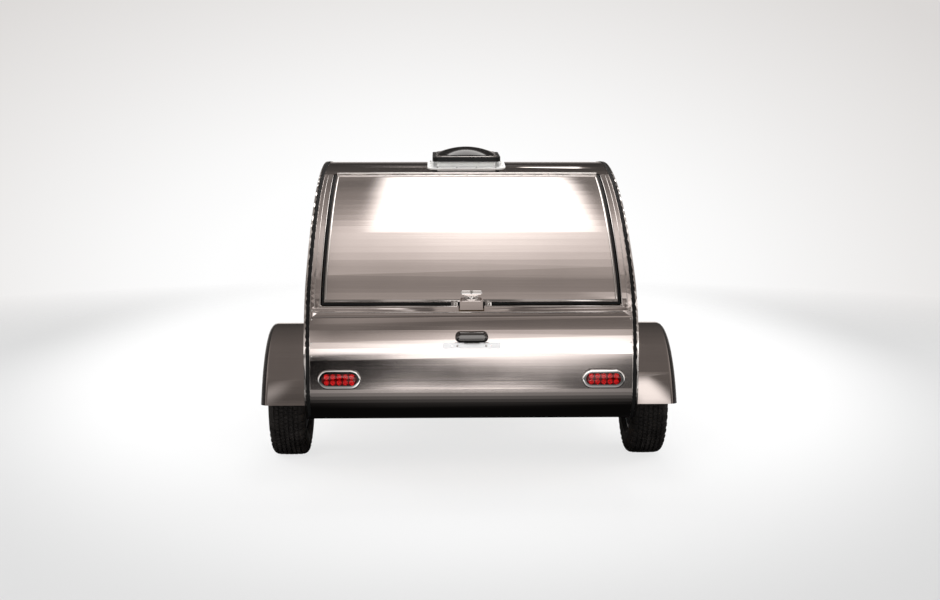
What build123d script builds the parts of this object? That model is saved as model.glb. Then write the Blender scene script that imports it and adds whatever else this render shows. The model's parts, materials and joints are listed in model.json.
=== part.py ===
from build123d import *

import os
from math import asin, atan, atan2, cos, degrees, hypot, radians, sin, sqrt

# Teardrop trailer: a two-berth cabin with a rear galley under a curved hatch, on a single axle.
# Millimetres. +X right, +Y forward, +Z up. Side views are drawn with d, the distance ahead of
# the tail skin, and the height above the floor.

# Body
BODY_LENGTH = 2743.0
BODY_WIDTH = 1524.0
WALL = 25.0
BODY_Z = 322.0
CREST_D = 1400.0
CREST_Z = 1507.0
TAIL_RISE_Z = 620.0
TAIL_LOW_R = 530.0
TAIL_TUCK_R = 165.0
NOSE_RISE_Z = 640.0
NOSE_LOW_R = 620.0
NOSE_TUCK_R = 150.0
SEAT = 0.3
SEAM = 0.5

# Edge trim along the corner of roof and side wall
TRIM_PROUD = 3.0
TRIM_LEG = 22.0
INSERT_IN = 740.0
INSERT_OUT = 754.0
INSERT_DEPTH = 1.8
INSERT_PROUD = 0.6

# Hatch and its surround
HINGE_D = 941.0
HINGE_LIFT = 6.0
KNUCKLE_R = 5.0
HINGE_PIN_R = 1.6
HINGE_BORE_R = 2.0
KNUCKLE_PITCH = 71.0
KNUCKLE_GAP = 1.0
LEAF = 2.0
LEAF_WIDTH = 26.0
HINGE_GAP = 4.0
HATCH_HALF = 675.0
HATCH_THICK = 30.0
HATCH_BOTTOM_Z = 881.0
HATCH_OPEN = 60.0
GASKET = 12.0
GASKET_GAP = 5.0
SURROUND_HALF = 721.0
SURROUND_BOTTOM_Z = 834.0
SURROUND_CORNER_R = 18.0
TAB_HALF = 53.0
TAB_REACH = 35.0
LATCH_Z = 905.0
LATCH_BASE_WIDTH = 64.0
LATCH_BASE_HEIGHT = 38.0
LATCH_BASE = 5.0
LATCH_BOSS_R = 14.0
LATCH_BOSS_TOP = 21.0
LATCH_BOSS_TAPER = 8.0
LATCH_NECK_OUT = 18.0
LATCH_NECK_WIDTH = 46.0
LATCH_NECK_HEIGHT = 20.0
LATCH_GRIP_OUT = 34.0
LATCH_GRIP_WIDTH = 100.0
LATCH_GRIP_HEIGHT = 17.0
LATCH_GRIP = 10.0
LATCH_GRIP_R = 3.0

# Gas struts, in the side view
STRUT_X = 655.0
STRUT_FOOT = (925.0, 1100.0)
STRUT_EYE_D = 740.0
STRUT_EYE_DEPTH = 55.0
STRUT_R = 9.0
ROD_R = 5.0
EYE_R = 9.0
EYE_HALF = 4.0
EYE_PIN_R = 4.0
STRUT_HEAD = 35.0
STRUT_NECK = 24.0
STRUT_NECK_R = 3.5
STRUT_PAD = 5.0
STRUT_PAD_WIDTH = 44.0
STRUT_PAD_HEIGHT = 60.0
STRUT_PAD_R = 6.0
STRUT_SIDE_GAP = 1.5

# Side doors
DOOR_WIDTH = 650.0
DOOR_HEIGHT = 890.0
DOOR_D = 1660.0
DOOR_SILL_Z = 400.0
DOOR_R = 90.0
DOOR_GAP = 6.0
DOOR_OPEN = 110.0
DOOR_TRIM = 30.0
DOOR_TRIM_PROUD = 4.0
WINDOW_WIDTH = 400.0
WINDOW_HEIGHT = 300.0
WINDOW_SIDE_RAIL = 130.0
WINDOW_TOP_RAIL = 80.0
WINDOW_R = 60.0
WINDOW_FLANGE = 25.0
WINDOW_NECK = 6.0
WINDOW_PROUD = 5.0
GLASS = 5.0
DOOR_HINGE_END = 160.0
DOOR_KNUCKLE_R = 4.5
DOOR_LEAF_HEIGHT = 72.0
DOOR_LEAF_WIDTH = 30.0
DOOR_LEAF = 3.0
DOOR_PIN_R = 2.0
HANDLE_WIDTH = 70.0
HANDLE_HEIGHT = 120.0
HANDLE_R = 14.0
HANDLE_THICK = 8.0
HANDLE_EDGE = 24.0
HANDLE_DROP = 55.0
HANDLE_WEB = 3.0
CUP_WIDTH = 44.0
CUP_HEIGHT = 70.0
CUP_R = 10.0
CUP_EDGE = 7.0
CUP_TOP = 11.0
PADDLE_WIDTH = 34.0
PADDLE_HEIGHT = 62.0
PADDLE_THICK = 9.0

# Interior
BULKHEAD = 15.0
LOWER_BULKHEAD_D = 640.0
UPPER_BULKHEAD_D = 965.0
COUNTER = 20.0
COUNTER_Z = 850.0
CABINET_HALF = 620.0
CABINET_DEPTH = 240.0
CABINET_Z = 1090.0
CABINET_BOARD = 15.0
CABINET_INSET = 62.0
CABINET_BAYS = 3
MATTRESS_TAIL_GAP = 20.0
MATTRESS_NOSE_GAP = 38.0
MATTRESS_SIDE_GAP = 37.0
MATTRESS_HEIGHT = 100.0
MATTRESS_R = 60.0

# Chassis
RAIL_WIDTH = 50.0
RAIL_HEIGHT = 76.0
RAIL_X = 425.0
RAIL_START = 560.0
RAIL_END = 2585.0
CROSS_DS = (585.0, 960.0, 1760.0, 2560.0)
CROSS_HALF = 700.0
TONGUE_HALF = 38.0
TONGUE_START = 1760.0
TONGUE_REACH = 1020.0

# Axle and wheels
AXLE_D = 820.0
TYRE_R = 307.5
TYRE_WIDTH = 188.0
WHEEL_X = 912.0
BEAM = 60.0
BEAM_AHEAD = 140.0
BEAM_HALF = 766.0
ARM_THICK = 28.0
ARM_WIDTH = 58.0
BEAM_R = 8.0
SEAT_PLATE = 6.0
SEAT_PLATE_WIDTH = 80.0
SEAT_PLATE_LENGTH = 100.0
SPINDLE_R = 17.0
SPINDLE_SHORT = 12.0
HUB_CLEAR = 0.3
DRUM_R = 115.0
DRUM_WIDTH = 56.0
DRUM_CHAMFER = 7.0
DRUM_BACK = 12.0
HUB_BARREL_R = 55.0
HUB_FLANGE_R = 75.0
HUB_FLANGE = 10.0
PILOT_LENGTH = 30.0
PILOT_R = 32.0
PILOT_NOSE = 14.0
PILOT_NOSE_R = 26.0
RIM_R = 165.0
RIM_HALF = 70.0
RIM_FLANGE = 18.0
RIM_WALL = 4.0
RIM_DROP = 19.0
DISC_THICK = 6.0
DISC_DISH = 26.0
DISC_HOLES = 8
DISC_HOLE_R = 15.0
DISC_HOLE_PCR = 122.0
BEAD_WIDTH = 14.0
TYRE_WALL = 11.0

# Fenders
FENDER_X = 1015.0
FENDER_R = 500.0
FENDER_BOTTOM_Z = 345.0
FENDER_CREST_Z = 682.0
FENDER_WALL = 3.0
FENDER_SKIRT = 70.0
FENDER_CORNER_R = 35.0

# Coupler and jack
BALL_R = 26.0
BALL_Z = 330.0
SOCKET_SKIRT = 18.0
SOCKET_WALL = 7.0
SOCKET_LIP = 15.0
COUPLER_WALL = 5.0
COUPLER_LENGTH = 240.0
JACK_D = 3180.0
JACK_X = -128.0
JACK_TUBE_R = 28.0
JACK_LEG_R = 22.7
JACK_BORE_R = 23.0
JACK_TUBE_LOW = 200.0
JACK_TUBE_TOP = 620.0
JACK_LEG_TOP = 430.0
JACK_FOOT_R = 60.0
JACK_TRAVEL = 180.0
JACK_PIN_R = 12.0
JACK_PLATE = 8.0
JACK_HUB_R = 22.0
JACK_BOSS = 6.0
JACK_SWIVEL_GAP = 2.0
JACK_PLATE_WIDTH = 110.0
JACK_PLATE_R = 8.0
JACK_FOOT = 6.0
JACK_FOOT_COLLAR = 12.0
JACK_HEAD = 22.0
JACK_HEAD_RIM = 5.0
JACK_SHAFT_R = 7.0
CRANK_REACH = 130.0
CRANK_UP = 50.0
CRANK_WIDTH = 18.0
CRANK_THICK = 8.0
CRANK_GRIP_R = 11.0
CRANK_GRIP = 60.0
LEVER_HALF = 12.0

# Tail fittings
LAMP_REACH = 36.0
LAMP_Z = 729.0
LAMP_WIDTH = 150.0
LAMP_HEIGHT = 50.0
BRACKET_Z = 689.5
BRACKET_WIDTH = 262.0
BRACKET_HEIGHT = 27.0
BRACKET_OUT = 14.0
BRACKET_THICK = 3.0
BRACKET_R = 4.0
BRACKET_LEG = 24.0
PLATE_SPACING = 178.0
PLATE_HOLE_R = 3.5
TAIL_LAMP_X = 604.0
TAIL_LAMP_Z = 534.5
BEZEL_WIDTH = 196.0
BEZEL_HEIGHT = 90.0
BEZEL_DEPTH = 14.0
LENS_WIDTH = 161.0
LENS_HEIGHT = 53.0
LENS_DEPTH = 20.0

# Roof vent
VENT_D = 1260.0
VENT_FLANGE = 415.0
VENT_FLANGE_R = 45.0
VENT_FLANGE_THICK = 4.0
CURB = 310.0
CURB_WALL = 8.0
CURB_R = 20.0
CURB_TOP = 34.0
CURB_BELOW = 8.0
LID = 362.0
LID_R = 30.0
LID_LOW = 24.0
LID_TOP = 47.0
LID_WALL = 4.0
DOME = 311.0
DOME_R = 40.0
DOME_FOOT = 6.0
DOME_RISE = 37.0
DOME_END_RISE = 5.0
DOME_WALL = 3.0
DOME_LEDGE = 10.0
LID_HINGE_AHEAD = 12.0
LID_HINGE_UP = 30.0
LID_OPEN = 75.0
EAR_X = 110.0
EAR_WIDTH = 20.0
EAR_R = 5.0
EAR_PIN_R = 2.0
EAR_GAP = 1.0
POST_WIDTH = 12.0
POST_FOOT = 8.0

# Worked-out sizes
SIDE = BODY_WIDTH / 2
INNER = SIDE - WALL
TAIL_TUCK_Z = BODY_Z + TAIL_TUCK_R
NOSE_TUCK_Z = BODY_Z + NOSE_TUCK_R
OVERALL = LAMP_REACH + BODY_LENGTH + TONGUE_REACH
TAIL_Y = LAMP_REACH - OVERALL / 2
FLOOR_Z = BODY_Z + WALL
RAIL_Z = BODY_Z - RAIL_HEIGHT
SIDES = (("left", -1), ("right", 1))
DOOR_Z = DOOR_SILL_Z + DOOR_HEIGHT / 2
DOOR_FRONT_D = DOOR_D + DOOR_WIDTH / 2
DOOR_REAR_D = DOOR_D - DOOR_WIDTH / 2
WINDOW_D = DOOR_FRONT_D - WINDOW_SIDE_RAIL - WINDOW_WIDTH / 2
WINDOW_Z = DOOR_Z + DOOR_HEIGHT / 2 - WINDOW_TOP_RAIL - WINDOW_HEIGHT / 2
DOOR_HINGE_ZS = (DOOR_Z - DOOR_HEIGHT / 2 + DOOR_HINGE_END, DOOR_Z + DOOR_HEIGHT / 2 - DOOR_HINGE_END)
HANDLE_D = DOOR_REAR_D + HANDLE_EDGE + HANDLE_WIDTH / 2
HANDLE_Z = DOOR_Z - HANDLE_DROP


def tangent_pair(reach, rise, low_radius):
    """Radius of an upper arc that starts level at the crest, and the angle where the lower one takes over."""
    turn = 90 - 2 * degrees(atan((rise - low_radius) / (reach - low_radius)))
    return low_radius + (reach - low_radius) / cos(radians(turn)), turn


TAIL_HIGH_R, TAIL_TURN = tangent_pair(CREST_D, CREST_Z - TAIL_RISE_Z, TAIL_LOW_R)
NOSE_HIGH_R, NOSE_TURN = tangent_pair(BODY_LENGTH - CREST_D, CREST_Z - NOSE_RISE_Z, NOSE_LOW_R)


def side_plane(x):
    """Plane across x: its own x is d and its own y is the height."""
    return Plane(origin=(x, TAIL_Y, 0), x_dir=(0, 1, 0), z_dir=(1, 0, 0))


def rear_plane(d):
    """Plane across d, facing rearwards: its own x is X and its own y is the height."""
    return Plane(origin=(0, TAIL_Y + d, 0), x_dir=(1, 0, 0), z_dir=(0, -1, 0))


def level_plane(z):
    """Level plane at a height: its own x is X and its own y is d."""
    return Plane(origin=(0, TAIL_Y, z))


def save(name, part):
    """Labels a finished piece and writes it."""
    part.label = name
    export_step(part, f"parts/{name}.step")


def save_pair(name, part):
    """Writes a right-hand piece and its mirror image on the left."""
    save(f"{name}_right", part)
    save(f"{name}_left", mirror(part, about=Plane.YZ))


def teardrop(inset=0.0, mode=Mode.ADD):
    """Adds the body's side outline, set in by inset, to the sketch in hand."""
    with BuildLine() as outline:
        Line((inset, TAIL_TUCK_Z), (inset, TAIL_RISE_Z))
        CenterArc((TAIL_LOW_R, TAIL_RISE_Z), TAIL_LOW_R - inset, 180, -TAIL_TURN)
        CenterArc((CREST_D, CREST_Z - TAIL_HIGH_R), TAIL_HIGH_R - inset, 180 - TAIL_TURN, TAIL_TURN - 90)
        CenterArc((CREST_D, CREST_Z - NOSE_HIGH_R), NOSE_HIGH_R - inset, 90, NOSE_TURN - 90)
        CenterArc((BODY_LENGTH - NOSE_LOW_R, NOSE_RISE_Z), NOSE_LOW_R - inset, NOSE_TURN, -NOSE_TURN)
        Line((BODY_LENGTH - inset, NOSE_RISE_Z), (BODY_LENGTH - inset, NOSE_TUCK_Z))
        CenterArc((BODY_LENGTH - NOSE_TUCK_R, NOSE_TUCK_Z), NOSE_TUCK_R - inset, 0, -90)
        Line((BODY_LENGTH - NOSE_TUCK_R, BODY_Z + inset), (TAIL_TUCK_R, BODY_Z + inset))
        CenterArc((TAIL_TUCK_R, TAIL_TUCK_Z), TAIL_TUCK_R - inset, 270, -90)
    make_face(outline.edges(), mode=mode)


def polygon(points, mode=Mode.ADD):
    """Adds a closed straight-sided outline to the sketch in hand."""
    with BuildLine() as outline:
        Polyline(*points, close=True)
    make_face(outline.edges(), mode=mode)


def skin_band(region, outer, inner):
    """Sketches the stretch of skin between two insets of the outline that lies inside region."""
    teardrop(outer)
    teardrop(inner, Mode.SUBTRACT)
    polygon(region, Mode.INTERSECT)


def tail_skin(d, depth=0.0):
    """Point of the tail's curve at d, moved inwards along its normal by depth."""
    join = TAIL_LOW_R * (1 - cos(radians(TAIL_TURN)))
    centre_d, centre_z, radius = CREST_D, CREST_Z - TAIL_HIGH_R, TAIL_HIGH_R
    if d < join:
        centre_d, centre_z, radius = TAIL_LOW_R, TAIL_RISE_Z, TAIL_LOW_R
    height = sqrt(radius**2 - (centre_d - d) ** 2)
    scale = (radius - depth) / radius
    return centre_d + (d - centre_d) * scale, centre_z + height * scale


HINGE_SLOPE = asin((CREST_D - HINGE_D) / TAIL_HIGH_R)
HINGE_SKIN = tail_skin(HINGE_D)


def from_hinge(along, out):
    """Side-view point measured along the skin, forwards from the hinge line, and outwards from the skin."""
    d = HINGE_SKIN[0] + along * cos(HINGE_SLOPE) - out * sin(HINGE_SLOPE)
    return d, HINGE_SKIN[1] + along * sin(HINGE_SLOPE) + out * cos(HINGE_SLOPE)


HINGE_AXIS = from_hinge(0, HINGE_LIFT)
FAR = 200.0
ROOF_REGION = (
    from_hinge(HINGE_GAP, FAR),
    from_hinge(HINGE_GAP, -FAR),
    (BODY_LENGTH - NOSE_TUCK_R, NOSE_TUCK_Z),
    (BODY_LENGTH - NOSE_TUCK_R, BODY_Z - FAR),
    (BODY_LENGTH + FAR, BODY_Z - FAR),
    (BODY_LENGTH + FAR, CREST_Z + FAR),
)
TAIL_REGION = (
    from_hinge(HINGE_GAP - SEAM, FAR),
    from_hinge(HINGE_GAP - SEAM, -FAR),
    (TAIL_TUCK_R, TAIL_TUCK_Z),
    (TAIL_TUCK_R, BODY_Z - FAR),
    (-FAR, BODY_Z - FAR),
    (-FAR, CREST_Z),
)
HATCH_REGION = (
    from_hinge(-HINGE_GAP, FAR),
    from_hinge(-HINGE_GAP, -FAR),
    (TAIL_LOW_R, HATCH_BOTTOM_Z),
    (-FAR, HATCH_BOTTOM_Z),
    (-FAR, CREST_Z),
)
TRIM_REGION = (
    (-FAR, CREST_Z + FAR),
    (-FAR, BODY_Z - FAR),
    (TAIL_TUCK_R, BODY_Z - FAR),
    (TAIL_TUCK_R, TAIL_TUCK_Z),
    (BODY_LENGTH - NOSE_TUCK_R, NOSE_TUCK_Z),
    (BODY_LENGTH - NOSE_TUCK_R, BODY_Z - FAR),
    (BODY_LENGTH + FAR, BODY_Z - FAR),
    (BODY_LENGTH + FAR, CREST_Z + FAR),
)

VENT_TILT = asin((CREST_D - VENT_D) / TAIL_HIGH_R)
VENT_SKIN = tail_skin(VENT_D)
VENT_PLANE = Plane(
    origin=(0, TAIL_Y + VENT_SKIN[0], VENT_SKIN[1]),
    x_dir=(1, 0, 0),
    z_dir=(0, -sin(VENT_TILT), cos(VENT_TILT)),
)

os.makedirs("parts", exist_ok=True)

# Roof and nose in one curved panel, with the vent's square hole
with BuildPart() as roof:
    with BuildSketch(side_plane(-INNER)):
        skin_band(ROOF_REGION, 0.0, WALL)
    extrude(amount=2 * INNER)
    with BuildSketch(VENT_PLANE.offset(-2 * WALL)):
        RectangleRounded(CURB + 2 * SEAT, CURB + 2 * SEAT, CURB_R + SEAT)
    extrude(amount=4 * WALL, mode=Mode.SUBTRACT)
save("roof_shell", roof.part)

# Tail panel: full width below the surround, narrow strips beside it
with BuildPart() as tail:
    with BuildSketch(side_plane(-INNER)):
        skin_band(TAIL_REGION, 0.0, WALL)
    extrude(amount=2 * INNER)
    with BuildSketch(rear_plane(-FAR)):
        with Locations((0, SURROUND_BOTTOM_Z + CREST_Z / 2)):
            RectangleRounded(2 * SURROUND_HALF, CREST_Z, SURROUND_CORNER_R)
    extrude(amount=-CREST_D, mode=Mode.SUBTRACT)
save("tail_panel", tail.part)

# Surround that the hatch closes into, with a notch for the hatch's latch tab
OPENING_HALF = HATCH_HALF + GASKET + GASKET_GAP
OPENING_BOTTOM_Z = HATCH_BOTTOM_Z - GASKET - GASKET_GAP
NOTCH_HALF = TAB_HALF + GASKET_GAP + 1
NOTCH_BOTTOM_Z = HATCH_BOTTOM_Z - TAB_REACH - GASKET_GAP - 1
with BuildPart() as surround:
    with BuildSketch(side_plane(-SURROUND_HALF)):
        skin_band(TAIL_REGION, 0.0, WALL)
    extrude(amount=2 * SURROUND_HALF)
    with BuildSketch(rear_plane(-FAR)):
        with Locations((0, SURROUND_BOTTOM_Z + SEAM + CREST_Z / 2)):
            RectangleRounded(2 * (SURROUND_HALF - SEAM), CREST_Z, SURROUND_CORNER_R - SEAM)
        with Locations((0, OPENING_BOTTOM_Z + CREST_Z / 2)):
            RectangleRounded(2 * OPENING_HALF, CREST_Z, GASKET, mode=Mode.SUBTRACT)
        with Locations((0, NOTCH_BOTTOM_Z + FAR / 2)):
            Rectangle(2 * NOTCH_HALF, FAR, mode=Mode.SUBTRACT)
    extrude(amount=-CREST_D, mode=Mode.INTERSECT)
save("hatch_surround", surround.part)

# Hatch: one thick curved panel with a tab that carries the latch
with BuildPart() as hatch:
    with BuildSketch(side_plane(-HATCH_HALF)):
        skin_band(HATCH_REGION, 0.0, HATCH_THICK)
    extrude(amount=2 * HATCH_HALF)
    with BuildSketch(side_plane(-TAB_HALF)):
        teardrop(0.0)
        teardrop(WALL, Mode.SUBTRACT)
        with Locations((0, HATCH_BOTTOM_Z - TAB_REACH / 2)):
            Rectangle(TAIL_LOW_R, TAB_REACH, mode=Mode.INTERSECT)
    extrude(amount=2 * TAB_HALF)
save("hatch_panel", hatch.part)

# Rubber gasket round the hatch's sides and foot, broken at the tab
with BuildPart() as gasket:
    with BuildSketch(side_plane(-HATCH_HALF - GASKET)):
        teardrop(2.0)
        teardrop(WALL, Mode.SUBTRACT)
        polygon(
            (
                from_hinge(-HINGE_GAP, FAR),
                from_hinge(-HINGE_GAP, -FAR),
                (TAIL_LOW_R, HATCH_BOTTOM_Z - GASKET),
                (-FAR, HATCH_BOTTOM_Z - GASKET),
                (-FAR, CREST_Z),
            ),
            Mode.INTERSECT,
        )
    extrude(amount=2 * (HATCH_HALF + GASKET))
    with BuildSketch(rear_plane(-FAR)):
        with Locations((0, HATCH_BOTTOM_Z + CREST_Z / 2)):
            Rectangle(2 * HATCH_HALF, CREST_Z)
        with Locations((0, HATCH_BOTTOM_Z)):
            Rectangle(2 * TAB_HALF, FAR)
    extrude(amount=-CREST_D, mode=Mode.SUBTRACT)
save("hatch_gasket", gasket.part)

# Piano hinge: knuckles in turn belong to the roof's leaf and to the hatch's leaf
KNUCKLES = 2 * int(HATCH_HALF / KNUCKLE_PITCH) + 1
HINGE_HALF = KNUCKLES * KNUCKLE_PITCH / 2


def hinge_leaf(side, first):
    """Adds a leaf, ahead of the pin for side 1 and behind it for side -1, with every second knuckle from first."""
    near, far = side * (KNUCKLE_R + 1), side * (KNUCKLE_R + LEAF_WIDTH)
    with BuildSketch(side_plane(-HINGE_HALF)) as leaf:
        region = (
            from_hinge(near, FAR),
            from_hinge(near, -FAR),
            from_hinge(far, -FAR),
            from_hinge(far, FAR),
        )
        skin_band(region, -SEAT - LEAF, -SEAT)
    extrude(leaf.sketch, amount=2 * HINGE_HALF)
    for index in range(first, KNUCKLES, 2):
        x = index * KNUCKLE_PITCH - HINGE_HALF
        with BuildSketch(side_plane(x + KNUCKLE_GAP / 2)) as knuckle:
            with Locations(HINGE_AXIS):
                Circle(KNUCKLE_R)
            polygon(
                (
                    from_hinge(0, HINGE_LIFT - KNUCKLE_R),
                    from_hinge(near + side * 2, SEAT),
                    from_hinge(near + side * 2, SEAT + LEAF),
                    from_hinge(0, HINGE_LIFT - KNUCKLE_R + LEAF),
                )
            )
        extrude(knuckle.sketch, amount=KNUCKLE_PITCH - KNUCKLE_GAP)


with BuildPart() as hinge_fixed:
    hinge_leaf(1, 0)
    with BuildSketch(side_plane(-HINGE_HALF + KNUCKLE_GAP / 2)):
        with Locations(HINGE_AXIS):
            Circle(HINGE_PIN_R)
    extrude(amount=2 * HINGE_HALF - KNUCKLE_GAP)
save("hatch_hinge_roof_leaf", hinge_fixed.part)

with BuildPart() as hinge_moving:
    hinge_leaf(-1, 1)
    with BuildSketch(side_plane(-HINGE_HALF)):
        with Locations(HINGE_AXIS):
            Circle(HINGE_BORE_R)
    extrude(amount=2 * HINGE_HALF, mode=Mode.SUBTRACT)
save("hatch_hinge_leaf", hinge_moving.part)

# Locking T-handle on the hatch's tab, square to the skin
LATCH_TURN = asin((LATCH_Z - TAIL_RISE_Z) / TAIL_LOW_R)
LATCH_D = TAIL_LOW_R * (1 - cos(LATCH_TURN))
LATCH_PLANE = Plane(
    origin=(0, TAIL_Y + LATCH_D, LATCH_Z),
    x_dir=(1, 0, 0),
    z_dir=(0, -cos(LATCH_TURN), sin(LATCH_TURN)),
)
with BuildPart() as latch:
    with BuildSketch(LATCH_PLANE.offset(SEAT)):
        SlotOverall(LATCH_BASE_WIDTH, LATCH_BASE_HEIGHT)
    extrude(amount=LATCH_BASE)
    with BuildSketch(LATCH_PLANE.offset(LATCH_BASE)):
        Circle(LATCH_BOSS_R)
    extrude(amount=LATCH_BOSS_TOP - LATCH_BASE, taper=LATCH_BOSS_TAPER)
    with BuildSketch(LATCH_PLANE.offset(LATCH_NECK_OUT)):
        SlotOverall(LATCH_NECK_WIDTH, LATCH_NECK_HEIGHT)
    with BuildSketch(LATCH_PLANE.offset(LATCH_GRIP_OUT)):
        SlotOverall(LATCH_GRIP_WIDTH - LATCH_GRIP_HEIGHT, LATCH_GRIP_HEIGHT - 2)
    loft()
    with BuildSketch(LATCH_PLANE.offset(LATCH_GRIP_OUT)):
        SlotOverall(LATCH_GRIP_WIDTH, LATCH_GRIP_HEIGHT)
    extrude(amount=LATCH_GRIP)
    fillet(latch.faces().sort_by(Axis(LATCH_PLANE.origin, LATCH_PLANE.z_dir))[-1].edges(), LATCH_GRIP_R)
save("hatch_handle", latch.part)

# Side walls with the door openings
with BuildPart() as wall:
    with BuildSketch(side_plane(INNER)):
        teardrop()
        with Locations((DOOR_D, DOOR_Z)):
            RectangleRounded(DOOR_WIDTH, DOOR_HEIGHT, DOOR_R, mode=Mode.SUBTRACT)
    extrude(amount=WALL)
save_pair("side_wall", wall.part)

# Edge trim over the corner of skin and side wall, with a channel for its soft insert
with BuildPart() as trim:
    with BuildSketch(side_plane(INNER)):
        skin_band(TRIM_REGION, -TRIM_PROUD, 0.0)
    extrude(amount=WALL + TRIM_PROUD)
    with BuildSketch(side_plane(SIDE)):
        skin_band(TRIM_REGION, 0.0, TRIM_LEG)
    extrude(amount=TRIM_PROUD)
    with BuildSketch(side_plane(INSERT_IN)):
        skin_band(TRIM_REGION, -TRIM_PROUD, INSERT_DEPTH - TRIM_PROUD)
    extrude(amount=INSERT_OUT - INSERT_IN, mode=Mode.SUBTRACT)
    mirror(about=Plane.YZ)
save("edge_trims", trim.part)

with BuildPart() as insert:
    with BuildSketch(side_plane(INSERT_IN + SEAM / 2)):
        skin_band(TRIM_REGION, -TRIM_PROUD - INSERT_PROUD, INSERT_DEPTH - TRIM_PROUD - SEAT / 2)
    extrude(amount=INSERT_OUT - INSERT_IN - SEAM)
    mirror(about=Plane.YZ)
save("edge_inserts", insert.part)

# Floor
with BuildPart() as floor:
    with BuildSketch(level_plane(BODY_Z)):
        with Locations((0, (TAIL_TUCK_R + BODY_LENGTH - NOSE_TUCK_R) / 2)):
            Rectangle(2 * INNER, BODY_LENGTH - NOSE_TUCK_R - TAIL_TUCK_R)
    extrude(amount=WALL)
save("floor", floor.part)

# Bulkheads between cabin and galley: one under the counter, one above it
COUNTER_LOW = COUNTER_Z - COUNTER
with BuildPart() as bulkheads:
    with BuildSketch(side_plane(-INNER)):
        teardrop(WALL + SEAT)
        with Locations((UPPER_BULKHEAD_D + BULKHEAD / 2, COUNTER_Z + CREST_Z / 2)):
            Rectangle(BULKHEAD, CREST_Z, mode=Mode.INTERSECT)
    extrude(amount=2 * INNER)
    with BuildSketch(side_plane(-INNER)):
        with Locations((LOWER_BULKHEAD_D + BULKHEAD / 2, (FLOOR_Z + COUNTER_LOW) / 2)):
            Rectangle(BULKHEAD, COUNTER_LOW - FLOOR_Z)
    extrude(amount=2 * INNER)
save("bulkheads", bulkheads.part)

# Galley worktop, from the tail panel to under the upper bulkhead
with BuildPart() as counter:
    with BuildSketch(side_plane(-INNER)):
        teardrop(WALL + SEAT)
        with Locations(((UPPER_BULKHEAD_D + BULKHEAD) / 2, COUNTER_Z - COUNTER / 2)):
            Rectangle(UPPER_BULKHEAD_D + BULKHEAD, COUNTER, mode=Mode.INTERSECT)
    extrude(amount=2 * INNER)
save("galley_counter", counter.part)

# Galley cabinet on the upper bulkhead, open to the rear in bays
BAY = (2 * CABINET_HALF - CABINET_BOARD) / CABINET_BAYS
with BuildPart() as cabinet:
    with BuildSketch(side_plane(-CABINET_HALF)):
        teardrop(CABINET_INSET)
        with Locations((UPPER_BULKHEAD_D - CABINET_DEPTH / 2, CABINET_Z + CREST_Z / 2)):
            Rectangle(CABINET_DEPTH, CREST_Z, mode=Mode.INTERSECT)
    extrude(amount=2 * CABINET_HALF)
    for bay in range(CABINET_BAYS):
        with BuildSketch(side_plane(CABINET_BOARD - CABINET_HALF + bay * BAY)):
            teardrop(CABINET_INSET + CABINET_BOARD)
            with Locations((UPPER_BULKHEAD_D - CABINET_DEPTH, CABINET_Z + CABINET_BOARD + CREST_Z / 2)):
                Rectangle(2 * (CABINET_DEPTH - CABINET_BOARD), CREST_Z, mode=Mode.INTERSECT)
        extrude(amount=BAY - CABINET_BOARD, mode=Mode.SUBTRACT)
save("galley_cabinet", cabinet.part)

# Mattress on the cabin floor
MATTRESS_START = LOWER_BULKHEAD_D + BULKHEAD + MATTRESS_TAIL_GAP
MATTRESS_END = BODY_LENGTH - NOSE_TUCK_R - MATTRESS_NOSE_GAP
with BuildPart() as mattress:
    with BuildSketch(level_plane(FLOOR_Z + SEAT)):
        with Locations((0, (MATTRESS_START + MATTRESS_END) / 2)):
            RectangleRounded(2 * (INNER - MATTRESS_SIDE_GAP), MATTRESS_END - MATTRESS_START, MATTRESS_R)
    extrude(amount=MATTRESS_HEIGHT)
save("mattress", mattress.part)

# Door openings' outer trim
with BuildPart() as door_trim:
    with BuildSketch(side_plane(SIDE)):
        with Locations((DOOR_D, DOOR_Z)):
            RectangleRounded(DOOR_WIDTH + 2 * DOOR_TRIM, DOOR_HEIGHT + 2 * DOOR_TRIM, DOOR_R + DOOR_TRIM)
            RectangleRounded(DOOR_WIDTH, DOOR_HEIGHT, DOOR_R, mode=Mode.SUBTRACT)
    extrude(amount=DOOR_TRIM_PROUD)
    mirror(about=Plane.YZ)
save("door_trims", door_trim.part)

# Doors
with BuildPart() as door:
    with BuildSketch(side_plane(INNER)):
        with Locations((DOOR_D, DOOR_Z)):
            RectangleRounded(DOOR_WIDTH - 2 * DOOR_GAP, DOOR_HEIGHT - 2 * DOOR_GAP, DOOR_R - DOOR_GAP)
        with Locations((WINDOW_D, WINDOW_Z)):
            RectangleRounded(WINDOW_WIDTH, WINDOW_HEIGHT, WINDOW_R, mode=Mode.SUBTRACT)
    extrude(amount=WALL)
save_pair("door", door.part)

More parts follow.
